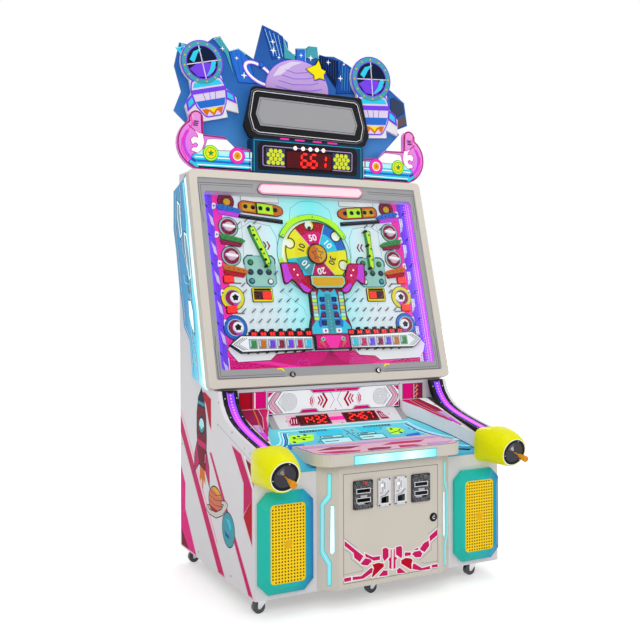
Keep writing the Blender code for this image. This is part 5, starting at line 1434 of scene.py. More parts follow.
def skylineArt():
    art = Layered("skylineArt", frontPlace(frontY + 0.838), "cabinet", None)
    towers = [(name, shape) for name, shapes in skyline.items() for shape in shapes]
    for k, (name, shape) in enumerate(towers):
            art.add("inkDeepBlue", inset(shape, -0.001), -0.0002, 0.0004 + 0.00001 * k)
            art.add(name, inset(shape, 0.003), -0.0002, 0.0007 + 0.00001 * k)
            # lit edge and floor lines, following each block's own sides
            art.line("inkPaleCyan" if name in ("inkTeal", "inkBlue", "inkCyan") else "inkBlue", shape[:3],
                0.0026, -0.0002, 0.001)
    for k in range(7):
        art.line("inkRoyal", [(0.112 + k * 0.015, 2.733 - k * 0.002),
            (0.112 + k * 0.015, 2.69 - k * 0.015)], 0.003, -0.0002, 0.001)
    for k in range(4):
        art.line("inkTeal", [(0.246 + k * 0.017, 2.7 - k * 0.007), (0.24 + k * 0.017, 2.56)], 0.0026,
            -0.0002, 0.001)
        art.line("inkPaleCyan", [(-0.232 + k * 0.026, 2.838 - 0.008 * k), (-0.18 + k * 0.018, 2.7)],
            0.0022, -0.0002, 0.001)
        art.line("inkRoyal", [(-0.425 + k * 0.026, 2.69 - 0.002 * k), (-0.395 + k * 0.024, 2.56)],
            0.0026, -0.0002, 0.001)
    for x, z, size in sparkles:
        art.add("inkWhite", star((x, z), size, size * 0.26, 4, 90), -0.0002, 0.0014)
    art.build()
    # planet, its ring, moon and star stand in front of the board
    sky = Layered("planetArt", frontPlace(frontY + 0.8381), "cabinet", None)
    low = -0.0001
    ball = oval((-0.04, 2.53), 0.19, 0.16, 44)
    visible = [(x, max(z, 2.5)) for x, z in ball]
    sky.add("inkPurple", inset(visible, -0.003), low, 0.006)
    sky.add("inkLilac", visible, low, 0.009, 0.002)
    sky.add("inkPaleLilac", mm(-190, 2585, -150, 2640, -80, 2678, -10, 2682, -70, 2655, -140, 2600), low,
        0.0094)
    for k in range(4):
        z = 2.535 + 0.032 * k
        reach = 0.15 - 0.022 * k
        sky.line("inkPurple", [(-0.04 - reach * 0.9, z), (-0.04 - reach * 0.2, z - 0.014),
            (-0.04 + reach * 0.6, z - 0.004), (-0.04 + reach, z + 0.01)], 0.003, low, 0.0096)
    for grow, name, high in ((0.004, "inkPurple", 0.0044), (0.0, "inkPaleLilac", 0.0054),
            (-0.005, "inkWhite", 0.0058)):
        sky.add(name, tiltedRing((-0.268, 2.592), 0.098, 0.05, -28, 0.019 + grow * 2, grow), low, high)
    sky.add("inkDeepBlue", disc((-0.256, 2.639), 0.0165, 20), low, 0.007)
    sky.add("inkBlue", disc((-0.256, 2.639), 0.0135, 20), low, 0.011, 0.003)
    spike = mm(12, 2647, 50, 2666, 72, 2676, 86, 2704, 98, 2678, 103, 2658, 132, 2648, 118, 2625, 123,
        2600, 94, 2606, 62, 2592, 60, 2618, 39, 2628)
    sky.add("inkPurple", shift(spike, 0.005, -0.006), low, 0.011)
    sky.add("inkBlack", inset(spike, -0.0022), low, 0.012)
    sky.add("inkYellow", spike, low, 0.015, 0.002)
    sky.build()


def marqueeWings():
    for side, word in leftRight:
        art = Layered(f"wingPrint.{word}", frontPlace(frontY + 0.772), "cabinet", "pink_plastic")
        def put(points):
            return [(-side * (x + 0.007), z + 0.008) for x, z in points]
        low = -0.0003
        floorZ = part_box(f"marquee_wing_{word}")[0][2]
        stripes = mm(-632, 2142, -600, 2150, -345, 2150, -345, 2052, -655, 2052, -690, 2075, -672, 2110)
        end = (0.613, 2.181)
        body = ([(0.346, floorZ), (0.6, floorZ)] + arc(end, end[1] - floorZ, -84, 58, 12)
            + [(0.681, 2.312)] + arc((0.644, 2.312), 0.037, 0, 180, 8)
            + mm(607, 2229, 488, 2225, 447, 2181, 346, 2170))
        art.line("wingEdge", [(side * x, z) for x, z in inset(body, 0.0045)], 0.0075, low, 0.0012, True)
        art.line("inkViolet", [(side * x, z) for x, z in arc(end, 0.098, -70, 40, 12)], 0.016, low, 0.0008)
        art.add("inkNavy", put(inset(stripes, -0.003)), low, 0.0004)
        art.add("inkCyan", put(stripes), low, 0.0008)
        art.add("inkPaleCyan", put(mm(-625, 2146, -345, 2146, -345, 2118, -650, 2118)), low, 0.001)
        art.line("inkWhite", put([(-0.66, 2.104), (-0.35, 2.107)]), 0.0055, low, 0.0014)
        art.line("inkBlue", put([(-0.65, 2.085), (-0.35, 2.086)]), 0.012, low, 0.0012)
        art.line("inkWhite", put([(-0.645, 2.065), (-0.35, 2.068)]), 0.0045, low, 0.0014)
        art.line("inkNavy", put([(-0.64, 2.055), (-0.35, 2.055)]), 0.006, low, 0.0016)
        plate = mm(-606, 2152, -592, 2196, -560, 2200, -487, 2202, -452, 2172, -430, 2150, -520, 2146)
        art.add("inkGrey", put(inset(plate, -0.003)), low, 0.0018)
        art.add("inkWhite", put(plate), low, 0.0026, 0.0004)
        art.line("inkDarkRed", put([(-0.622, 2.219), (-0.626, 2.33)]), 0.0035, low, 0.001)
        art.line("inkDarkRed", put([(-0.66, 2.238), (-0.692, 2.262)]), 0.0035, low, 0.001)
        hook = mm(-659, 2235, -640, 2226, -618, 2223, -610, 2180, -622, 2145, -645, 2124, -680, 2136, -668,
            2150, -650, 2150, -640, 2166, -655, 2178, -672, 2166, -682, 2190, -664, 2206, -640, 2200, -645,
            2218)
        art.add("inkMagenta", put(inset(hook, -0.003)), low, 0.001)
        art.add("inkWhite", put(soften(hook, 0.004)), low, 0.0018)
        for k in range(3):
            art.add("inkBlack", put(soften([(-0.669 + 0.002 * k, 2.262 + 0.01 * k),
                (-0.643 + 0.002 * k, 2.262 + 0.01 * k), (-0.643 + 0.002 * k, 2.267 + 0.01 * k),
                (-0.669 + 0.002 * k, 2.267 + 0.01 * k)], 0.0015)), low, 0.0018)
        art.line("inkHotPink", put(mm(-680, 2315, -672, 2270, -700, 2230, -728, 2190, -730, 2140, -700,
            2085)), 0.005, low, 0.001)
        art.line("inkPalePink", put([(-0.674, 2.318), (-0.664, 2.296)]), 0.006, low, 0.0014)
        # badges: a coin and a ring
        x = side * 0.568
        art.add("inkGreen", disc((x, 2.135), 0.042, 32), low, 0.004)
        art.add("inkLime", disc((x, 2.135), 0.0385, 32), low, 0.0056, 0.001)
        art.add("inkGreen", band((x, 2.135), 0.027, 0.03, 0, 359.9, 32), low, 0.006)
        art.add("inkYellow", disc((x, 2.135), 0.026, 28), low, 0.0062)
        art.add("inkGreen", star((x, 2.135), 0.019, 0.008, 5), low, 0.0068)
        x = side * 0.4215
        art.add("inkPurple", disc((x, 2.131), 0.044, 32), low, 0.004)
        art.add("inkHotPink", disc((x, 2.131), 0.0405, 32), low, 0.0056, 0.001)
        art.add("inkWhite", disc((x, 2.131), 0.0255, 28), low, 0.006)
        art.add("inkGold", disc((x, 2.131), 0.0205, 24), low, 0.0072, 0.001)
        art.add("inkOrange", star((x, 2.131), 0.013, 0.0055, 5), low, 0.0076)
        art.build()


# which of the seven bars each digit lights, from the top round to the middle
digitBars = {" ": "", "0": "abcdef", "1": "bc", "2": "abged", "3": "abgcd", "4": "fgbc", "5": "afgcd",
    "6": "afgedc", "7": "abc", "8": "abcdefg", "9": "abcdfg"}


# Seven-bar digits, each a closed bar with pointed ends.
def ledDigits(piece, text, centre, size, low, high, lit="ledRed", unlit="ledRedOff"):
    tall, wide, thick = size, size * 0.54, size * 0.17
    pitch = size * 0.78
    for k, digit in enumerate(text):
        x = centre[0] + (k - (len(text) - 1) / 2) * pitch
        y = centre[1]
        half, quarter = wide / 2, tall / 4
        spots = {"a": (0, 2 * quarter, False), "g": (0, 0, False), "d": (0, -2 * quarter, False),
            "b": (half, quarter, True), "c": (half, -quarter, True), "f": (-half, quarter, True),
            "e": (-half, -quarter, True)}
        for bar, (dx, dy, upright) in spots.items():
            reach = (quarter * 2 if upright else wide) / 2 - thick * 0.35
            w = thick / 2
            shape = [(-reach, 0), (-reach + w, -w), (reach - w, -w), (reach, 0), (reach - w, w),
                (-reach + w, w)]
            if upright:
                shape = [(b, a) for a, b in shape]
            on = bar in digitBars[digit]
            piece.add(lit if on else unlit, [(x + dx + a + (dy + b) * 0.08, y + dy + b) for a, b in shape],
                low, high if on else high - 0.0002)


def marqueeBox():
    art = Layered("marqueeBoxPrint", frontPlace(frontY + 0.772), "cabinet", "navy_plastic")
    low = -0.0003
    art.line("inkCyan", mm(-325, 2058, -325, 2225, 325, 2225, 325, 2058), 0.0022, low, 0.0006)
    art.add("blackPlastic", soften(mm(-300, 2070, 296, 2070, 302, 2190, 284, 2222, -288, 2222, -304, 2190),
        0.014, 4), low, 0.003, 0.001)
    frame = soften(mm(-276, 2092, 264, 2092, 266, 2196, -276, 2196), 0.012, 4)
    art.line("inkLilac", frame, 0.0036, low, 0.0036, True)
    art.add("inkBlack", soften(block(-0.146, 2.082, 0.142, 2.184), 0.006), low, 0.004)
    art.add("ledDarkWindow", soften(block(-0.138, 2.089, 0.135, 2.177), 0.004), low, 0.0046)
    ledDigits(art, " 661", (-0.002, 2.133), 0.07, low, 0.0052)
    for side in (-1, 1):
        bounds = (-0.255, -0.148) if side < 0 else (0.146, 0.253)
        art.add("inkSlate", soften(block(bounds[0] - 0.004, 2.098, bounds[1] + 0.002, 2.186), 0.006), low,
            0.0037)
        for row in range(4):
            for k in range(4 - row % 2):
                x = bounds[0] + 0.0125 + k * 0.0268 + (row % 2) * 0.0134
                art.add("honeyYellow", disc((x, 2.11 + row * 0.0208), 0.0128, 6), low, 0.0042, 0.0006)
    for x in (-0.086, -0.039, 0.005, 0.045, 0.085):
        art.add("lampWarm", disc((x, 2.196), 0.011, 16), low, 0.01, 0.004)
    art.build()
    # black face and blank plate of the title
    title = Layered("titlePlate", frontPlace(frontY + 0.775), "cabinet", "black_plastic")
    plate = mm(-340, 2485, -310, 2500, 290, 2494, 318, 2476, 356, 2345, 340, 2262, 300, 2244, -300, 2250,
        -338, 2270, -362, 2350)
    limits = nodeOutline(plate)
    title.add("bezelLine", inset(limits, 0.004), low, 0.001)
    title.add("blackPlastic", inset(limits, 0.01), low, 0.002)
    title.line("inkWhite", inset(limits, 0.017), 0.0026, low, 0.0026, True)
    field = mm(-292, 2452, 268, 2446, 302, 2352, 284, 2296, -288, 2302, -314, 2362)
    title.add("bezelGrey", field, low, 0.0044, 0.0012)
    title.line("inkSlate", inset(field, 0.009), 0.002, low, 0.0048, True)
    for k, (a, b) in enumerate(((-0.172, -0.121), (-0.085, -0.027), (0.023, 0.076), (0.113, 0.174))):
        z = 2.2415 - 0.0004 * k
        title.add("inkHotPink", soften(block(a, z - 0.004, b, z + 0.004), 0.0025), low, 0.0034)
    title.build()


# Keeps points inside the title plate's own box.
def nodeOutline(points):
    a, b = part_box("title_plate")
    low, high = Vector(a), Vector(b)
    return [(min(max(x, low.x + 0.002), high.x - 0.002), min(max(z, low.z + 0.002), high.z - 0.002)) for x,
        z in points]


def spacePods():
    for centre, r, lean, word in (((-0.596, 2.608), 0.116, 14, "left"), ((0.419, 2.632), 0.13, 4, "right")):
        turn = Matrix.Rotation(radians(lean), 2)
        def put(points):
            return [tuple(turn @ Vector(p) * r + Vector(centre)) for p in points]
        art = Layered(f"podPrint.{word}", frontPlace(frontY + 0.818), "cabinet", None)
        low = -0.0003
        hull = [(-0.72, -0.72), (0.72, -0.72), (0.86, -1.2), (0.74, -1.9), (0.4, -2.42), (-0.4, -2.42),
            (-0.74, -1.9), (-0.86, -1.2)]
        art.add("inkPurple", put(soften(hull, 0.12)), low, 0.002)
        art.add("inkPaleLilac", put(soften(inset(hull, 0.05), 0.12)), low, 0.0032, 0.0006)
        art.add("inkPurple", put([(-0.82, -1.14), (0.82, -1.14), (0.85, -1.34), (-0.85, -1.34)]), low, 0.0038)
        art.add("inkBlue", put([(-0.72, -1.66), (0.72, -1.66), (0.6, -1.98), (-0.6, -1.98)]), low, 0.0038)
        art.add("inkOrange", put([(-0.52, -2.04), (0.52, -2.04), (0.36, -2.36), (0.2, -2.16), (0, -2.38),
            (-0.2, -2.16), (-0.36, -2.36)]), low, 0.0038)
        art.add("inkYellow", put([(-0.3, -2.04), (0.3, -2.04), (0.12, -2.12), (0, -2.26),
            (-0.12, -2.12)]), low, 0.004)
        art.line("inkSlate", put([(-0.3, -1.34), (-0.24, -1.66)]), 0.002, low, 0.0042)
        art.line("inkSlate", put([(0.3, -1.34), (0.24, -1.66)]), 0.002, low, 0.0042)
        for side in (-1, 1):
            art.add("inkPurple", put([(side * 0.82, -1.3), (side * 1.17, -1.56), (side * 1.2, -2.02),
                (side * 0.78, -1.76)]), low, 0.003)
            art.add("inkCyan", put([(side * 0.86, -1.44), (side * 1.08, -1.62), (side * 1.1, -1.86),
                (side * 0.82, -1.68)]), low, 0.0036)
        art.add("inkPurple", put(disc((0, 0), 0.995, 48)), low, 0.003)
        art.add("inkTeal", put(disc((0, 0), 0.945, 48)), low, 0.006, 0.0012)
        for k in range(12):
            art.add("inkGold", put(disc((0.85 * cos(2 * pi * k / 12), 0.85 * sin(2 * pi * k / 12)), 0.038,
                8)), low, 0.0066)
        art.add("inkPurple", put(disc((0, 0), 0.76, 44)), low, 0.0066)
        art.add("inkNavy", put(disc((0, 0), 0.72, 44)), low, 0.0072, 0.001)
        art.add("inkPurple", put([(-0.66, -0.2), (-0.2, 0.02), (0.5, -0.1), (0.62, -0.3),
            (0.2, -0.67), (-0.36, -0.6)]), low, 0.0074)
        art.add("inkCyan", put([(-0.56, 0.2), (-0.3, 0.52), (0.1, 0.62), (-0.14, 0.4), (-0.38, 0.04)]),
            low, 0.0076)
        art.add("inkCyan", put([(0.66, -0.06), (0.44, -0.46), (0.02, -0.66), (0.3, -0.34), (0.46, 0.02)]),
            low, 0.0076)
        art.line("inkPaleLilac", put([(0, -0.74), (0, 0.74)]), 0.005, low, 0.0084)
        art.line("inkPaleLilac", put([(-0.74, 0), (0.74, 0)]), 0.005, low, 0.0084)
        art.add("inkCyan", put([(-0.6, -0.84), (0.6, -0.84), (0.72, -1.06), (-0.72, -1.06)]), low, 0.004)
        art.line("inkPurple", put([(0, -1.34), (0, -1.66)]), 0.0024, low, 0.0042)
        art.build()


skylineArt()
marqueeWings()
marqueeBox()
spacePods()
print("marquee")


# ---- playing deck, its ledges, the speaker and score panels behind it
panelArt = {"half": 0.383, "low": 0.812, "high": 0.924, "ringAt": 0.266, "ringZ": 0.869}


def speakerPanel(s):
    art = Layered("speakerPanelPrint", frontPlace(frontY + 0.48), "cabinet", "white_laminate")
    low = -0.0003
    sheet = block(-s["half"], s["low"], s["half"], s["high"])
    art.add("inkSlate", inset(sheet, -0.0025), low, 0.0006)
    art.add("inkWhite", sheet, low, 0.0014, 0.0004)
    for side in (-1, 1):
        def mirror(points):
            return [(x * side, z) for x, z in points]
        for shape, name in ((mm(-381, 870, -358, 904, -339, 922, -304, 922, -345, 870, -299, 815, -340,
                815, -372, 842), "inkSlate"), (mm(-376, 870, -355, 902, -337, 919.5, -310, 919.5, -350,
                870, -305, 817.5, -338, 817.5, -370, 844), "inkPalePink"),
                (mm(-381, 922, -350, 922, -381, 894), "inkMagenta"),
                (mm(-381, 815, -350, 815, -381, 842), "inkMagenta")):
            art.add(name, mirror(shape), low, 0.0016 if name == "inkSlate" else 0.0018)
        art.line("inkMagenta", mirror(mm(-333, 921, -366, 870, -328, 817)), 0.0026, low, 0.002)
        art.line("inkSlate", mirror(mm(-290, 917, -326, 870, -284, 820)), 0.002, low, 0.0018)
        # rings of perforations
        for ring, count in ((0.01, 8), (0.018, 14), (0.026, 20), (0.034, 26), (0.042, 32)):
            art.add("inkPaleGrey", band((side * s["ringAt"], s["ringZ"]), ring - 0.0011, ring + 0.0011, 0,
                359.9, 28), low, 0.0016)
            for k in range(count):
                angle = 2 * pi * k / count
                art.add("inkSlate", disc((side * s["ringAt"] + ring * cos(angle),
                    s["ringZ"] + ring * sin(angle)), 0.0019, 6), low, 0.0019)
        for radius, name, width in ((0.01, "inkPink", 0.007), (0.022, "inkPink", 0.0055),
                (0.034, "inkPalePink", 0.0045)):
            art.line(name, mirror(arc((-0.166 + 0.018 - radius * 0.2 - 0.01, 0.867), radius + 0.006, -52,
                52, 8)) if side < 0 else mirror(arc((-0.166 + 0.018 - radius * 0.2 - 0.01, 0.867),
                radius + 0.006, -52, 52, 8)), width, low, 0.0019)
        for x, tall, width, name in ((-0.052, 0.038, 0.011, "inkRed"), (-0.074, 0.026, 0.0085, "inkPink"),
                (-0.091, 0.02, 0.007, "inkPink")):
            art.line(name, mirror([(x - tall * 0.62, 0.867 + tall), (x, 0.867),
                (x - tall * 0.62, 0.867 - tall)]), width, low, 0.002)
        art.line("inkSlate", mirror(mm(-30, 908, -8, 867, -34, 826)), 0.0018, low, 0.002)
        art.add("inkMagenta", mirror(mm(-205, 812, -192, 826, -116, 826, -102, 812)), low, 0.0022)
        art.line("inkSlate", mirror(mm(-209, 813, -194, 829, -114, 829, -98, 813)), 0.0018, low, 0.0022)
        # printed end walls
        outer, inner = (0.534, 0.409) if side < 0 else (0.534, 0.394)
        wall = block(-outer, 0.846, -inner, 0.926)
        art.add("inkSlate", inset(mirror(wall), -0.002), low, 0.0006)
        bands = ((-0.532, -0.499, "inkMaroon"), (-0.499, -0.492, "inkOrange"),
            (-0.492, -0.483, "inkDarkRed"), (-0.483, -0.477, "inkPalePink"), (-0.477, -0.466, "inkPink"),
            (-0.466, -0.41, "inkMagenta")) if side < 0 else ((-0.532, -0.476, "inkRed"),
            (-0.476, -0.468, "inkDarkRed"), (-0.468, -0.462, "inkPink"), (-0.462, -0.455, "inkOrange"),
            (-0.455, -0.449, "inkWhite"), (-0.449, -0.396, "inkMagenta"))
        for a, b, name in bands:
            art.add(name, mirror(block(a, 0.846, b, 0.926)), low, 0.0012)
        if side > 0:
            for k in range(3):
                z = 0.862 + 0.022 * k
                art.line("inkPalePink", [(0.482, z - 0.008), (0.506, z + 0.01)], 0.0042, low, 0.0016)
    art.add("inkMagenta", mm(-145, 923, -128, 909, 128, 909, 145, 923), low, 0.0022)
    art.line("inkSlate", mm(-150, 923, -130, 906, 130, 906, 150, 923), 0.0018, low, 0.0022)
    for x, z in ((0, 0.916), (0, 0.8185), (-0.4, 0.93), (0.388, 0.93)):
        art.add("screwSteel", disc((x, z), 0.004, 12), low, 0.003, 0.0006)
    art.build()


def scorePanel():
    up = Vector((0, 0.08, 0.057)).normalized()
    out = Vector((0, -up.z, up.y))
    place = placeFrom((0, frontY + 0.4, 0.748), (1, 0, 0), up, out)
    art = Layered("scorePanelPrint", place, "cabinet", "white_laminate")
    low = -0.0003
    for side in (-1, 1):
        a, b = sorted((side * 0.352, side * 0.392))
        art.add("bezelGrey", block(a, 0.0, b, 0.097), -0.006, -0.0006)
    art.add("inkPalePink", mm(-300, 12, 290, 12, 262, 90, -290, 90), low, 0.0006)
    art.add("inkMaroon", mm(-285, 18, -238, 18, -234, 76, -262, 76, -286, 48), low, 0.0012)
    art.add("inkMaroon", mm(236, 18, 284, 18, 268, 60, 252, 78, 232, 78), low, 0.0012)
    art.add("inkHotPink", block(-0.062, 0.034, 0.028, 0.062), low, 0.001)
    for k in range(3):
        art.line("inkWhite", [(-0.278 + 0.014 * k, 0.03), (-0.268 + 0.014 * k, 0.062)], 0.0028, low, 0.0016)
        art.line("inkWhite", [(0.246 + 0.012 * k, 0.03), (0.242 + 0.012 * k, 0.062)], 0.0028, low, 0.0016)
    for a, b, text in ((-0.232, -0.062, "1432"), (0.03, 0.218, "2467")):
        art.add("inkBlack", inset(block(a, 0.016, b, 0.08), -0.004), low, 0.003)
        art.add("bezelLine", inset(block(a, 0.016, b, 0.08), -0.001), low, 0.0034)
        art.add("ledDarkWindow", block(a, 0.017, b, 0.079), low, 0.0038)
        ledDigits(art, text, ((a + b) / 2, 0.048), 0.048, low, 0.0044)
    for x, z in ((0.0, 0.012), (-0.3, 0.05), (0.296, 0.05)):
        art.add("screwSteel", disc((x, z), 0.0036, 10), low, 0.002)
    art.build()


def deckArt():
    place = placeFrom((0, frontY, 0.628), (1, 0, 0), (0, 1, 0.3), (0, 0, 1))
    art = Layered("deckPrintArt", place, "cabinet", "cyan_print")
    low = -0.0003
    art.line("inkPaleCyan", mm(-448, 239, -425, 249, -400, 289, -387, 333, -372, 373, 370, 372, 372, 343,
        388, 287, 424, 235, 470, 190, 526, 158), 0.0085, low, 0.0006)
    for gap, name, width in ((0.01, "inkWhite", 0.004), (0.018, "inkBlue", 0.008),
            (0.028, "inkNavy", 0.0045), (0.036, "inkPaleCyan", 0.006)):
        art.line(name, [(-0.44 + gap, 0.222), (-0.42 + gap, 0.238), (-0.395 + gap, 0.287),
            (-0.382 + gap, 0.333), (-0.372 + gap, 0.362 - gap * 0.4)], width, low, 0.0008)
        art.line(name, [(0.366 - gap, 0.362 - gap * 0.4), (0.372 - gap, 0.33), (0.386 - gap, 0.28),
            (0.42 - gap, 0.23), (0.47 - gap, 0.18), (0.52 - gap, 0.15)], width, low, 0.0008)
    lime = mm(-344, 317, -321, 329, -213, 318, -238, 261, -365, 238, -367, 268)
    art.add("inkLime", lime, low, 0.001)
    lime = mm(209, 324, 278, 312, 290, 283, 240, 245, 194, 252)
    art.add("inkLime", lime, low, 0.001)
    art.line("inkNavy", mm(192, 262, 255, 280, 278, 300), 0.005, low, 0.0014)
    for x, y in ((-0.325, 0.299), (-0.297, 0.309), (-0.259, 0.318), (-0.345, 0.255), (-0.285, 0.275),
            (0.225, 0.305), (0.255, 0.262)):
        art.add("inkNavy", disc((x, y), 0.0085, 14), low, 0.0016)
    art.line("inkNavy", mm(-340, 288, -300, 284, -280, 294, -240, 290), 0.0034, low, 0.0014)
    art.add("inkBlue", mm(-392, 236, -307, 228, -324, 187, -404, 187), low, 0.001)
    art.add("inkBlue", mm(265, 232, 352, 247, 348, 218, 260, 197), low, 0.001)
    art.add("inkCyan", mm(-180, 362, -60, 362, -40, 330, -60, 300, -200, 305), low, 0.0008)
    art.add("inkCyan", mm(40, 358, 170, 350, 180, 310, 60, 296), low, 0.0008)
    # blank instruction blocks with outlines and rule lines
    for a, y0, b, y1 in ((-0.205, 0.205, -0.045, 0.262), (0.01, 0.222, 0.15, 0.268),
            (-0.19, 0.272, -0.07, 0.292), (0.02, 0.276, 0.12, 0.292)):
        art.line("inkNavy", block(a, y0, b, y1), 0.0026, low, 0.0012, True)
        art.add("inkPaleCyan", block(a + 0.003, y0 + 0.003, b - 0.003, y1 - 0.003), low, 0.001)
        art.add("inkSlate", block(a + 0.012, (y0 + y1) / 2 - 0.003, a + (b - a) * 0.55,
            (y0 + y1) / 2 + 0.003), low, 0.0014)
    for x0, x1 in ((-0.27, -0.12), (0.09, 0.25)):
        art.line("inkNavy", block(x0, 0.347, x1, 0.362), 0.002, low, 0.0012, True)
        for k in range(9):
            x = x0 + 0.01 + k * (x1 - x0 - 0.02) / 8
            art.add("inkSlate", block(x - 0.004, 0.351, x + 0.004, 0.358), low, 0.0012)
    for x, y in ((-0.02, 0.318), (0.01, 0.33), (-0.035, 0.296), (0.0, 0.3), (0.18, 0.33),
            (0.33, 0.3), (0.35, 0.28), (-0.22, 0.24), (0.39, 0.2), (0.42, 0.17)):
        art.add("inkNavy", disc((x, y), 0.0055, 12), low, 0.0014)
        art.add("inkPaleCyan", disc((x, y), 0.0025, 10), low, 0.0018)
    art.line("inkNavy", mm(-30, 345, -10, 270, 0, 220), 0.0026, low, 0.0012)
    for side in (-1, 1):
        def mirror(points):
            return [(x * side, y) for x, y in points]
        art.add("inkPaleCyan", mirror(mm(-520, 148, -440, 190, -425, 160, -540, 112)), low, 0.0008)
        art.line("inkNavy", mirror(mm(-545, 110, -470, 138, -430, 150)), 0.005, low, 0.0012)
        art.add("inkNavy", mirror(mm(-522, 30, -442, 50, -430, 40, -500, 18)), low, 0.001)
        art.line("inkPaleCyan", mirror([(-0.54, 0.06), (-0.43, 0.094)]), 0.006, low, 0.001)
        art.line("inkBlue", mirror([(-0.6, 0.02), (-0.43, 0.07)]), 0.006, low, 0.001)
    art.build()


ledgeCurve = mm(170, 470, 170, 450, 123, 363, 97, 310, 74, 250, 52, 200, 32, 130, 20, 70, 17, 30)


def ledgeArt():
    for side, word in leftRight:
        place = placeFrom((0, frontY, 0.628 + 0.073), (side, 0, 0), (0, 1, 0.3), (0, 0, 1))
        art = Layered(f"ledgePrint.{word}", place, "cabinet", "white_laminate")
        low = -0.0003
        inner = [(0.56 - w, y) for w, y in ledgeCurve]
        cover = [p for p in inner if p[1] > 0.12]
        shape = cover + [(0.545, 0.13), (0.552, 0.475)]
        art.add("inkPalePink", inset(shape, 0.001), low, 0.001)
        art.add("inkMaroon", inset(shape, 0.005), low, 0.0016)
        art.add("inkPink", mm(400, 468, 430, 468, 450, 380, 488, 280, 522, 190, 514, 180, 478, 262, 440,
            370, 398, 455), low, 0.002)
        art.add("inkOrange", mm(462, 468, 468, 468, 490, 370, 530, 220, 526, 218, 484, 368), low, 0.0022)
        art.add("inkLilac", mm(500, 300, 540, 300, 540, 215, 520, 205), low, 0.0022)
        art.add("inkViolet", mm(512, 215, 540, 225, 540, 150, 530, 148), low, 0.0024)
        art.line("inkPalePink", mm(440, 466, 456, 375, 505, 250), 0.003, low, 0.0024)
        if side > 0:
            art.add("inkWhite", mm(505, 470, 556, 470, 556, 310), low, 0.0032)
            for x, y in ((0.535, 0.44), (0.548, 0.38)):
                art.add("screwSteel", disc((x, y), 0.004, 10), low, 0.0042)
        art.build()
        # thin line at the foot of the curved wall
        foot = Layered(f"ledgeFoot.{word}", placeFrom((0, frontY, 0.628), (side, 0, 0), (0, 1, 0.3),
            (0, 0, 1)), "cabinet", "white_laminate")
        foot.line("inkSlate", [(0.56 - w - 0.002, y) for w, y in ledgeCurve[1:]], 0.0022, low, 0.003)
        foot.build()


# ---- console: shelf, light bar, door and what it carries
def consoleShelf():
    top = Layered("shelfPrint", placeFrom((0, frontY, 0.698), (1, 0, 0), (0, 1, 0), (0, 0, 1)), "cabinet",
        "cream_plastic")
    low = -0.0003
    turn, back = 0.085, 0.18
    outline = [(-0.39, back)] + arc((-0.305, -0.015), turn, 180, 270, 8) + arc((0.305, -0.015), turn, 270,
        360, 8) + [(0.39, back)]
    top.add("inkSlate", inset(outline, 0.006), low, 0.0006)
    top.add("inkLilac", inset(outline, 0.009), low, 0.001)
    top.add("inkPalePink", inset(outline, 0.015), low, 0.0014)
    for shape, name in ((mm(-360, -20, -300, -72, -180, -74, -160, -50, -250, -20), "inkPink"),
                        (mm(-130, -74, -20, -74, 10, -40, -60, -20, -110, -30), "inkMaroon"),
                        (mm(40, -74, 160, -74, 140, -34, 60, -22), "inkPink"),
                        (mm(200, -74, 310, -66, 350, -30, 220, -26), "inkLilac"),
                        (mm(-340, 30, -180, 10, -100, 50, -240, 80), "inkMaroon"),
                        (mm(0, 20, 200, 10, 260, 60, 80, 70), "inkPink"),
                        (mm(-360, 100, 360, 90, 360, 130, -360, 135), "inkLilac")):
        top.add("inkDarkRed", inset(shape, -0.0016), low, 0.0017)
        top.add(name, shape, low, 0.002)
    for x, y in ((-0.34, -0.052), (-0.12, -0.084), (0.12, -0.084), (0.34, -0.052), (-0.378, 0.06),
            (0.378, 0.06)):
        top.add("screwSteel", disc((x, y), 0.0042, 12), low, 0.0028, 0.0006)
    top.build()
    bar = Layered("shelfLight", frontPlace(frontY - 0.1), "cabinet", "light_trim")
    bar.add("inkTeal", soften(block(-0.2225, 0.6445, 0.2225, 0.6865), 0.004), low, 0.0008)
    bar.add("barGlow", soften(block(-0.22, 0.647, 0.22, 0.684), 0.003), low, 0.002, 0.0006)
    bar.build()


def chamferStrips():
    length = hypot(0.083, 0.06)
    for side, word in leftRight:
        place = placeFrom((side * 0.277, frontY - 0.06, 0), (side * 0.083 / length, 0.06 / length, 0),
            (0, 0, 1), (side * 0.06 / length, -0.083 / length, 0))
        art = Layered(f"chamferLight.{word}", place, "cabinet", "light_trim")
        low = -0.0003
        zig = mm(52, 603, 34, 603, 35, 498, 67, 461, 68, 260, 36, 206, 37, 106, 54, 105, 54, 196, 85, 245,
            84, 469, 53, 510)
        art.add("inkTeal", inset(zig, -0.0018), low, 0.0008)
        art.add("ledCyan", zig, low, 0.0016)
        art.line("inkPaleCyan", mm(43, 596, 44, 504, 75.5, 465, 76.5, 253, 45.5, 201, 45.5, 112), 0.005,
            low, 0.002)
        bar = mm(38, 462, 22, 459, 21, 257, 32, 243, 42, 252)
        art.add("inkTeal", inset(bar, -0.0016), low, 0.0008)
        art.add("ledWhite", bar, low, 0.0018)
        art.build()


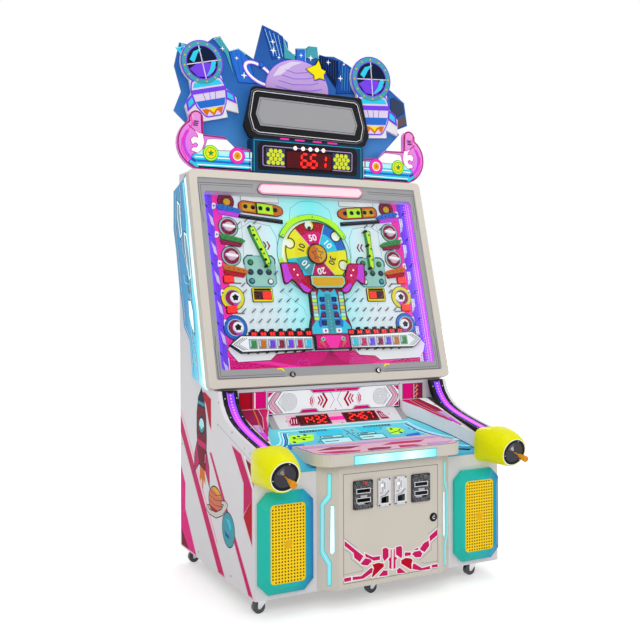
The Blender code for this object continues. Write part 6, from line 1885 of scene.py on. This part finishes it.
doorShapes = {
    "inkPink": (mm(-250, 301, -188, 249, -153, 220, -172, 197, -200, 219, -204, 242, -250, 280),
                mm(-167, 188, -144, 209, -118, 201, -109, 190, -132, 175, -158, 181),
                mm(-144, 231, -104, 209, -66, 208, -66, 192, -99, 192, -123, 208, -141, 215),
                mm(-51, 239, -34, 243, -20, 233, -20, 198, -42, 182, -51, 200),
                mm(21, 237, 46, 240, 54, 231, 54, 187, 48, 184, 21, 204),
                mm(-8, 231, -3, 230, -4, 140, -16, 146, -15, 179, -20, 187, -8, 196),
                mm(9, 231, 14, 230, 14, 195, 28, 185, 18, 178, 18, 141, 7, 138),
                mm(-165, 131, -111, 162, -104, 155, -109, 139, -153, 119, -209, 120, -209, 134),
                mm(-253, 134, -218, 135, -218, 119, -251, 118),
                mm(-73, 117, -47, 140, -25, 135, -25, 114),
                mm(114, 146, 124, 146, 164, 120, 210, 123, 210, 109, 154, 111, 112, 123),
                mm(220, 126, 253, 126, 253, 113, 220, 114),
                mm(26, 131, 40, 140, 75, 112, 28, 115),
                mm(109, 194, 124, 203, 154, 203, 167, 188, 159, 173, 129, 175),
                mm(157, 217, 175, 236, 202, 245, 206, 219, 179, 193, 154, 209),
                mm(208, 265, 252, 291, 252, 263, 210, 239),
                mm(70, 206, 102, 202, 102, 189, 69, 189),
                mm(114, 210, 142, 219, 144, 210)),
    "inkRed": (mm(-106, 175, -73, 179, -47, 171, -45, 158, -104, 118, -109, 121, -97, 158),
               mm(50, 173, 75, 180, 102, 174, 112, 165, 105, 145, 107, 124, 99, 125, 50, 157))}
doorLines = ([(-0.25, 0.312), (-0.188, 0.263)], mm(-250, 262, -229, 249, -218, 235, -216, 215, -156, 166,
    -158, 154, -250, 150), [(0.252, 0.306), (0.2, 0.274)], mm(252, 253, 220, 230, 218, 200, 149, 159),
    mm(159, 150, 179, 140, 252, 141))


def doorArt():
    art = Layered("doorPrint", frontPlace(frontY - 0.06), "coin_door", "cream_plastic")
    low = -0.0003
    for name, shapes in doorShapes.items():
        for shape in shapes:
            art.add("inkWhite", inset(shape, -0.0042), low, 0.0003)
            art.add("inkPalePink", inset(shape, -0.0018), low, 0.00045)
            art.add(name, shape, low, 0.0006)
    for points in doorLines:
        art.line("inkPaleGrey", points, 0.0036, low, 0.00035)
        art.line("inkGrey", points, 0.0012, low, 0.0005)
    edge = mm(-254.5, 108.5, 254.5, 108.5, 254.5, 598.5, -254.5, 598.5)
    art.line("bezelLine", edge, 0.0016, low, 0.0004, True)
    # handle lock on its plate
    art.add("blackPlastic", disc((0.23, 0.352), 0.021, 24), low, 0.0016)
    art.build()
    lock = Layered("lockFace", frontPlace(frontY - 0.064), "door_lock", "bright_metal")
    lock.add("screwBlack", disc((0.23, 0.352), 0.0136, 24), -0.0002, 0.0012, 0.0004)
    lock.add("chrome", band((0.23, 0.352), 0.005, 0.008, 30, 330, 20), -0.0002, 0.0016)
    lock.add("inkBlack", block(0.2291, 0.3475, 0.2309, 0.3565), -0.0002, 0.0018)
    lock.build()


# Ticket plates with slots, labels and a lamp; coin plates with screws, guides and a cup.
def doorPlates():
    for side, word in leftRight:
        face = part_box(f"ticket_plate_{word}")[0][1]
        plate = Layered(f"ticketPlateTrim.{word}", frontPlace(face), "coin_door", "dark_metal")
        x = side * 0.156
        low = -0.0003
        for z in (0.518, 0.476):
            plate.line("chrome", [(x - 0.036, z - 0.01), (x + 0.036, z - 0.01), (x + 0.036, z + 0.01),
                (x - 0.036, z + 0.01)], 0.0024, low, 0.0014, True)
        plate.add("inkPaleGrey", soften(block(x - 0.016, 0.4885, x + 0.018, 0.4985), 0.002), low, 0.0022)
        plate.add("inkPaleGrey", block(x - 0.03, 0.4575, x + 0.004, 0.4635), low, 0.0018)
        plate.add("inkBlack", block(x + 0.006, 0.4575, x + 0.03, 0.4635), low, 0.0018)
        for dx in (-0.043, 0.043):
            for z in (0.443, 0.557):
                plate.add("screwBlack", disc((x + dx, z), 0.004, 12), low, 0.0024, 0.0008)
        if side < 0:
            plate.add("inkBlack", disc((-0.147, 0.552), 0.007, 14), low, 0.002)
            plate.add("ledRed", disc((-0.147, 0.552), 0.0052, 14), low, 0.0044, 0.002)
        plate.build()
        realizeSpeckle(word, side, face)
        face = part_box(f"coin_plate_{word}")[0][1]
        coin = Layered(f"coinPlateTrim.{word}", frontPlace(face), "coin_door", "zinc_metal")
        x = side * 0.044
        for dx in (-0.027, 0.027):
            for z in (0.441, 0.559):
                coin.add("screwBlack", disc((x + dx, z), 0.0038, 12), low, 0.0026, 0.001)
        coin.line("chrome", [(x - 0.0042, 0.508), (x + 0.0074, 0.508), (x + 0.0074, 0.552),
            (x - 0.0042, 0.552)], 0.002, low, 0.002, True)
        coin.line("inkSlate", [(x - 0.01, 0.505), (x - 0.01, 0.553)], 0.0014, low, 0.001)
        coin.line("inkSlate", [(x - 0.018, 0.468), (x + 0.024, 0.506)], 0.0024, low, 0.0012)
        coin.line("inkRed", [(x - 0.024, 0.498), (x - 0.01, 0.498)], 0.003, low, 0.0012)
        coin.add("chrome", soften(block(x - 0.023, 0.446, x + 0.023, 0.452), 0.002), low, 0.005, 0.0016)
        coin.line("chrome", [(x - 0.0225, 0.45), (x - 0.0225, 0.48), (x + 0.0225, 0.486),
            (x + 0.0225, 0.45)], 0.0026, low, 0.0036)
        coin.build()


# Hammered dots over a ticket plate, clear of its slots.
def realizeSpeckle(word, side, face):
    spots = []
    for row in range(24):
        for k in range(18):
            x = side * 0.156 - 0.047 + k * 0.0055 + (row % 2) * 0.0027
            z = 0.4385 + row * 0.0053
            clearOf = all(abs(z - slot) > 0.0125 or abs(x - side * 0.156) > 0.0385 for slot in (0.518, 0.476))
            if clearOf and abs(x - side * 0.156) < 0.048:
                spots.append((x, z))
    return realize(f"hammerDots.{word}", dotGroup, spots, {"Radius": 0.0016,
        "Finish": finishes["zincSteel"], "Size Change": 0.55}, 0.0002, "coin_door", frontPlace(face))


# A tree that puts a small flat-topped stud on each point, with some change of size.
def makeDotGroup(name, sides):
    group = bpy.data.node_groups.new(name, "GeometryNodeTree")
    for label, kind, value in (("Mesh", "NodeSocketGeometry", None), ("Radius", "NodeSocketFloat", 0.002),
            ("Height", "NodeSocketFloat", 0.0006), ("Size Change", "NodeSocketFloat", 0.0),
            ("Seed", "NodeSocketInt", 7), ("Finish", "NodeSocketMaterial", None)):
        socket = group.interface.new_socket(label, in_out="INPUT", socket_type=kind)
        if value is not None:
            socket.default_value = value
    group.interface.new_socket("Mesh", in_out="OUTPUT", socket_type="NodeSocketGeometry")
    given, out = group.nodes.new("NodeGroupInput"), group.nodes.new("NodeGroupOutput")
    stud = group.nodes.new("GeometryNodeMeshCylinder")
    stud.inputs["Vertices"].default_value = sides
    link(group, given.outputs["Radius"], stud.inputs["Radius"])
    link(group, given.outputs["Height"], stud.inputs["Depth"])
    change = group.nodes.new("FunctionNodeRandomValue")
    change.data_type = "FLOAT"
    least = group.nodes.new("ShaderNodeMath")
    least.operation = "SUBTRACT"
    least.inputs[0].default_value = 1.0
    link(group, given.outputs["Size Change"], least.inputs[1])
    link(group, least.outputs[0], change.inputs[2])
    change.inputs[3].default_value = 1.0
    link(group, given.outputs["Seed"], change.inputs["Seed"])
    place = group.nodes.new("GeometryNodeInstanceOnPoints")
    link(group, given.outputs["Mesh"], place.inputs["Points"])
    link(group, stud.outputs["Mesh"], place.inputs["Instance"])
    link(group, change.outputs[1], place.inputs["Scale"])
    real = group.nodes.new("GeometryNodeRealizeInstances")
    link(group, place.outputs[0], real.inputs[0])
    coat = group.nodes.new("GeometryNodeSetMaterial")
    link(group, real.outputs[0], coat.inputs["Geometry"])
    link(group, given.outputs["Finish"], coat.inputs["Material"])
    link(group, coat.outputs[0], out.inputs[0])
    return group


dotGroup = makeDotGroup("studs", 8)
holeGroup = makeDotGroup("grilleHoles", 5)


def speakers():
    s = {"z": 0.3215, "across": 11, "up": 24, "pitchX": 0.0148, "pitchZ": 0.0143, "hole": 0.0044,
         "cornerX": 0.07, "cornerZ": 0.155, "badgeDrop": 0.004}
    for word in ("left", "right"):
        low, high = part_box(f"speaker_grille_{word}")
        face, centre = low[1], (low[0] + high[0]) / 2
        spots = []
        for i in range(s["across"]):
            for j in range(s["up"]):
                x = (i - (s["across"] - 1) / 2) * s["pitchX"]
                z = (j - (s["up"] - 1) / 2) * s["pitchZ"]
                corner = abs(x) > s["cornerX"] and abs(z) > s["cornerZ"]
                if not corner:
                    spots.append((centre + x, s["z"] + z))
        # dark studs stand for the grille's holes; their colour is painted shade inside the holes
        realize(f"grilleHoles.{word}", holeGroup, spots, {"Radius": s["hole"],
            "Finish": finishes["grilleHole"], "Height": 0.0004}, 0.0, "cabinet", frontPlace(face))
        glow = Layered(f"grilleBadge.{word}", frontPlace(face), "cabinet", "grille_yellow")
        glow.add("inkGold", star((centre, s["z"] - s["badgeDrop"]), 0.026, 0.016, 8), -0.0002, 0.0008)
        glow.build()


def plungers():
    s = {"plateThick": 0.006, "knobReach": 0.088, "endSink": 0.003, "screwRing": 0.056}
    for word in ("left", "right"):
        pull = Vector(joints[f"plunger_{word}_pull"]["axis"]).normalized()
        axis = pull if pull.y < 0 else -pull
        up = Vector((0, -axis.z, axis.y))
        up = up if up.z > 0 else -up
        low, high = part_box(f"plunger_plate_{word}")
        centre = (Vector(low) + Vector(high)) / 2
        front = centre + axis * s["plateThick"] / 2
        place = placeFrom(front, (1, 0, 0), up, axis)
        dish = Layered(f"plungerDish.{word}", place, "cabinet", "dark_metal")
        dish.add("blackPlastic", band((0, 0), 0.05, 0.0615, 0, 359.99, 48), -0.0002, 0.002, 0.0006)
        dish.add("darkMetal", band((0, 0), 0.01, 0.05, 0, 359.99, 40), -0.0002, 0.0008)
        # the lighter wedges to the upper left of the dark dish are a painted highlight
        dish.add("bezelLine", band((0, 0), 0.01, 0.044, 100, 160, 10), -0.0002, 0.001)
        dish.add("zincSteel", band((0, 0), 0.01, 0.033, 114, 146, 8), -0.0002, 0.0012)
        for angle in (75, 195, 315):
            dish.add("screwSteel", disc((s["screwRing"] * cos(radians(angle)),
                s["screwRing"] * sin(radians(angle))), 0.0034, 10), -0.0002, 0.0032, 0.0008)
        dish.add("inkWhite", band((0, 0), 0.0636, 0.0668, 0, 359.99, 48), 0.0018, 0.003)
        dish.build()
        # black end on the knob
        low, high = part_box(f"plunger_{word}")
        tip = Vector(((low[0] + high[0]) / 2, 0, 0)) + Vector((0, centre.y,
            centre.z)) + axis * (s["knobReach"] - s["endSink"])
        end = Layered(f"knobEnd.{word}", placeFrom(tip, (1, 0, 0), up, axis), f"plunger_{word}",
            "orange_knob")
        end.add("knobEnd", disc((0, 0), 0.0085, 20), -0.001, 0.0012)
        end.build()


speakerPanel(panelArt)
scorePanel()
deckArt()
ledgeArt()
consoleShelf()
chamferStrips()
doorArt()
doorPlates()
speakers()
plungers()
print("deck and console")


print("done")
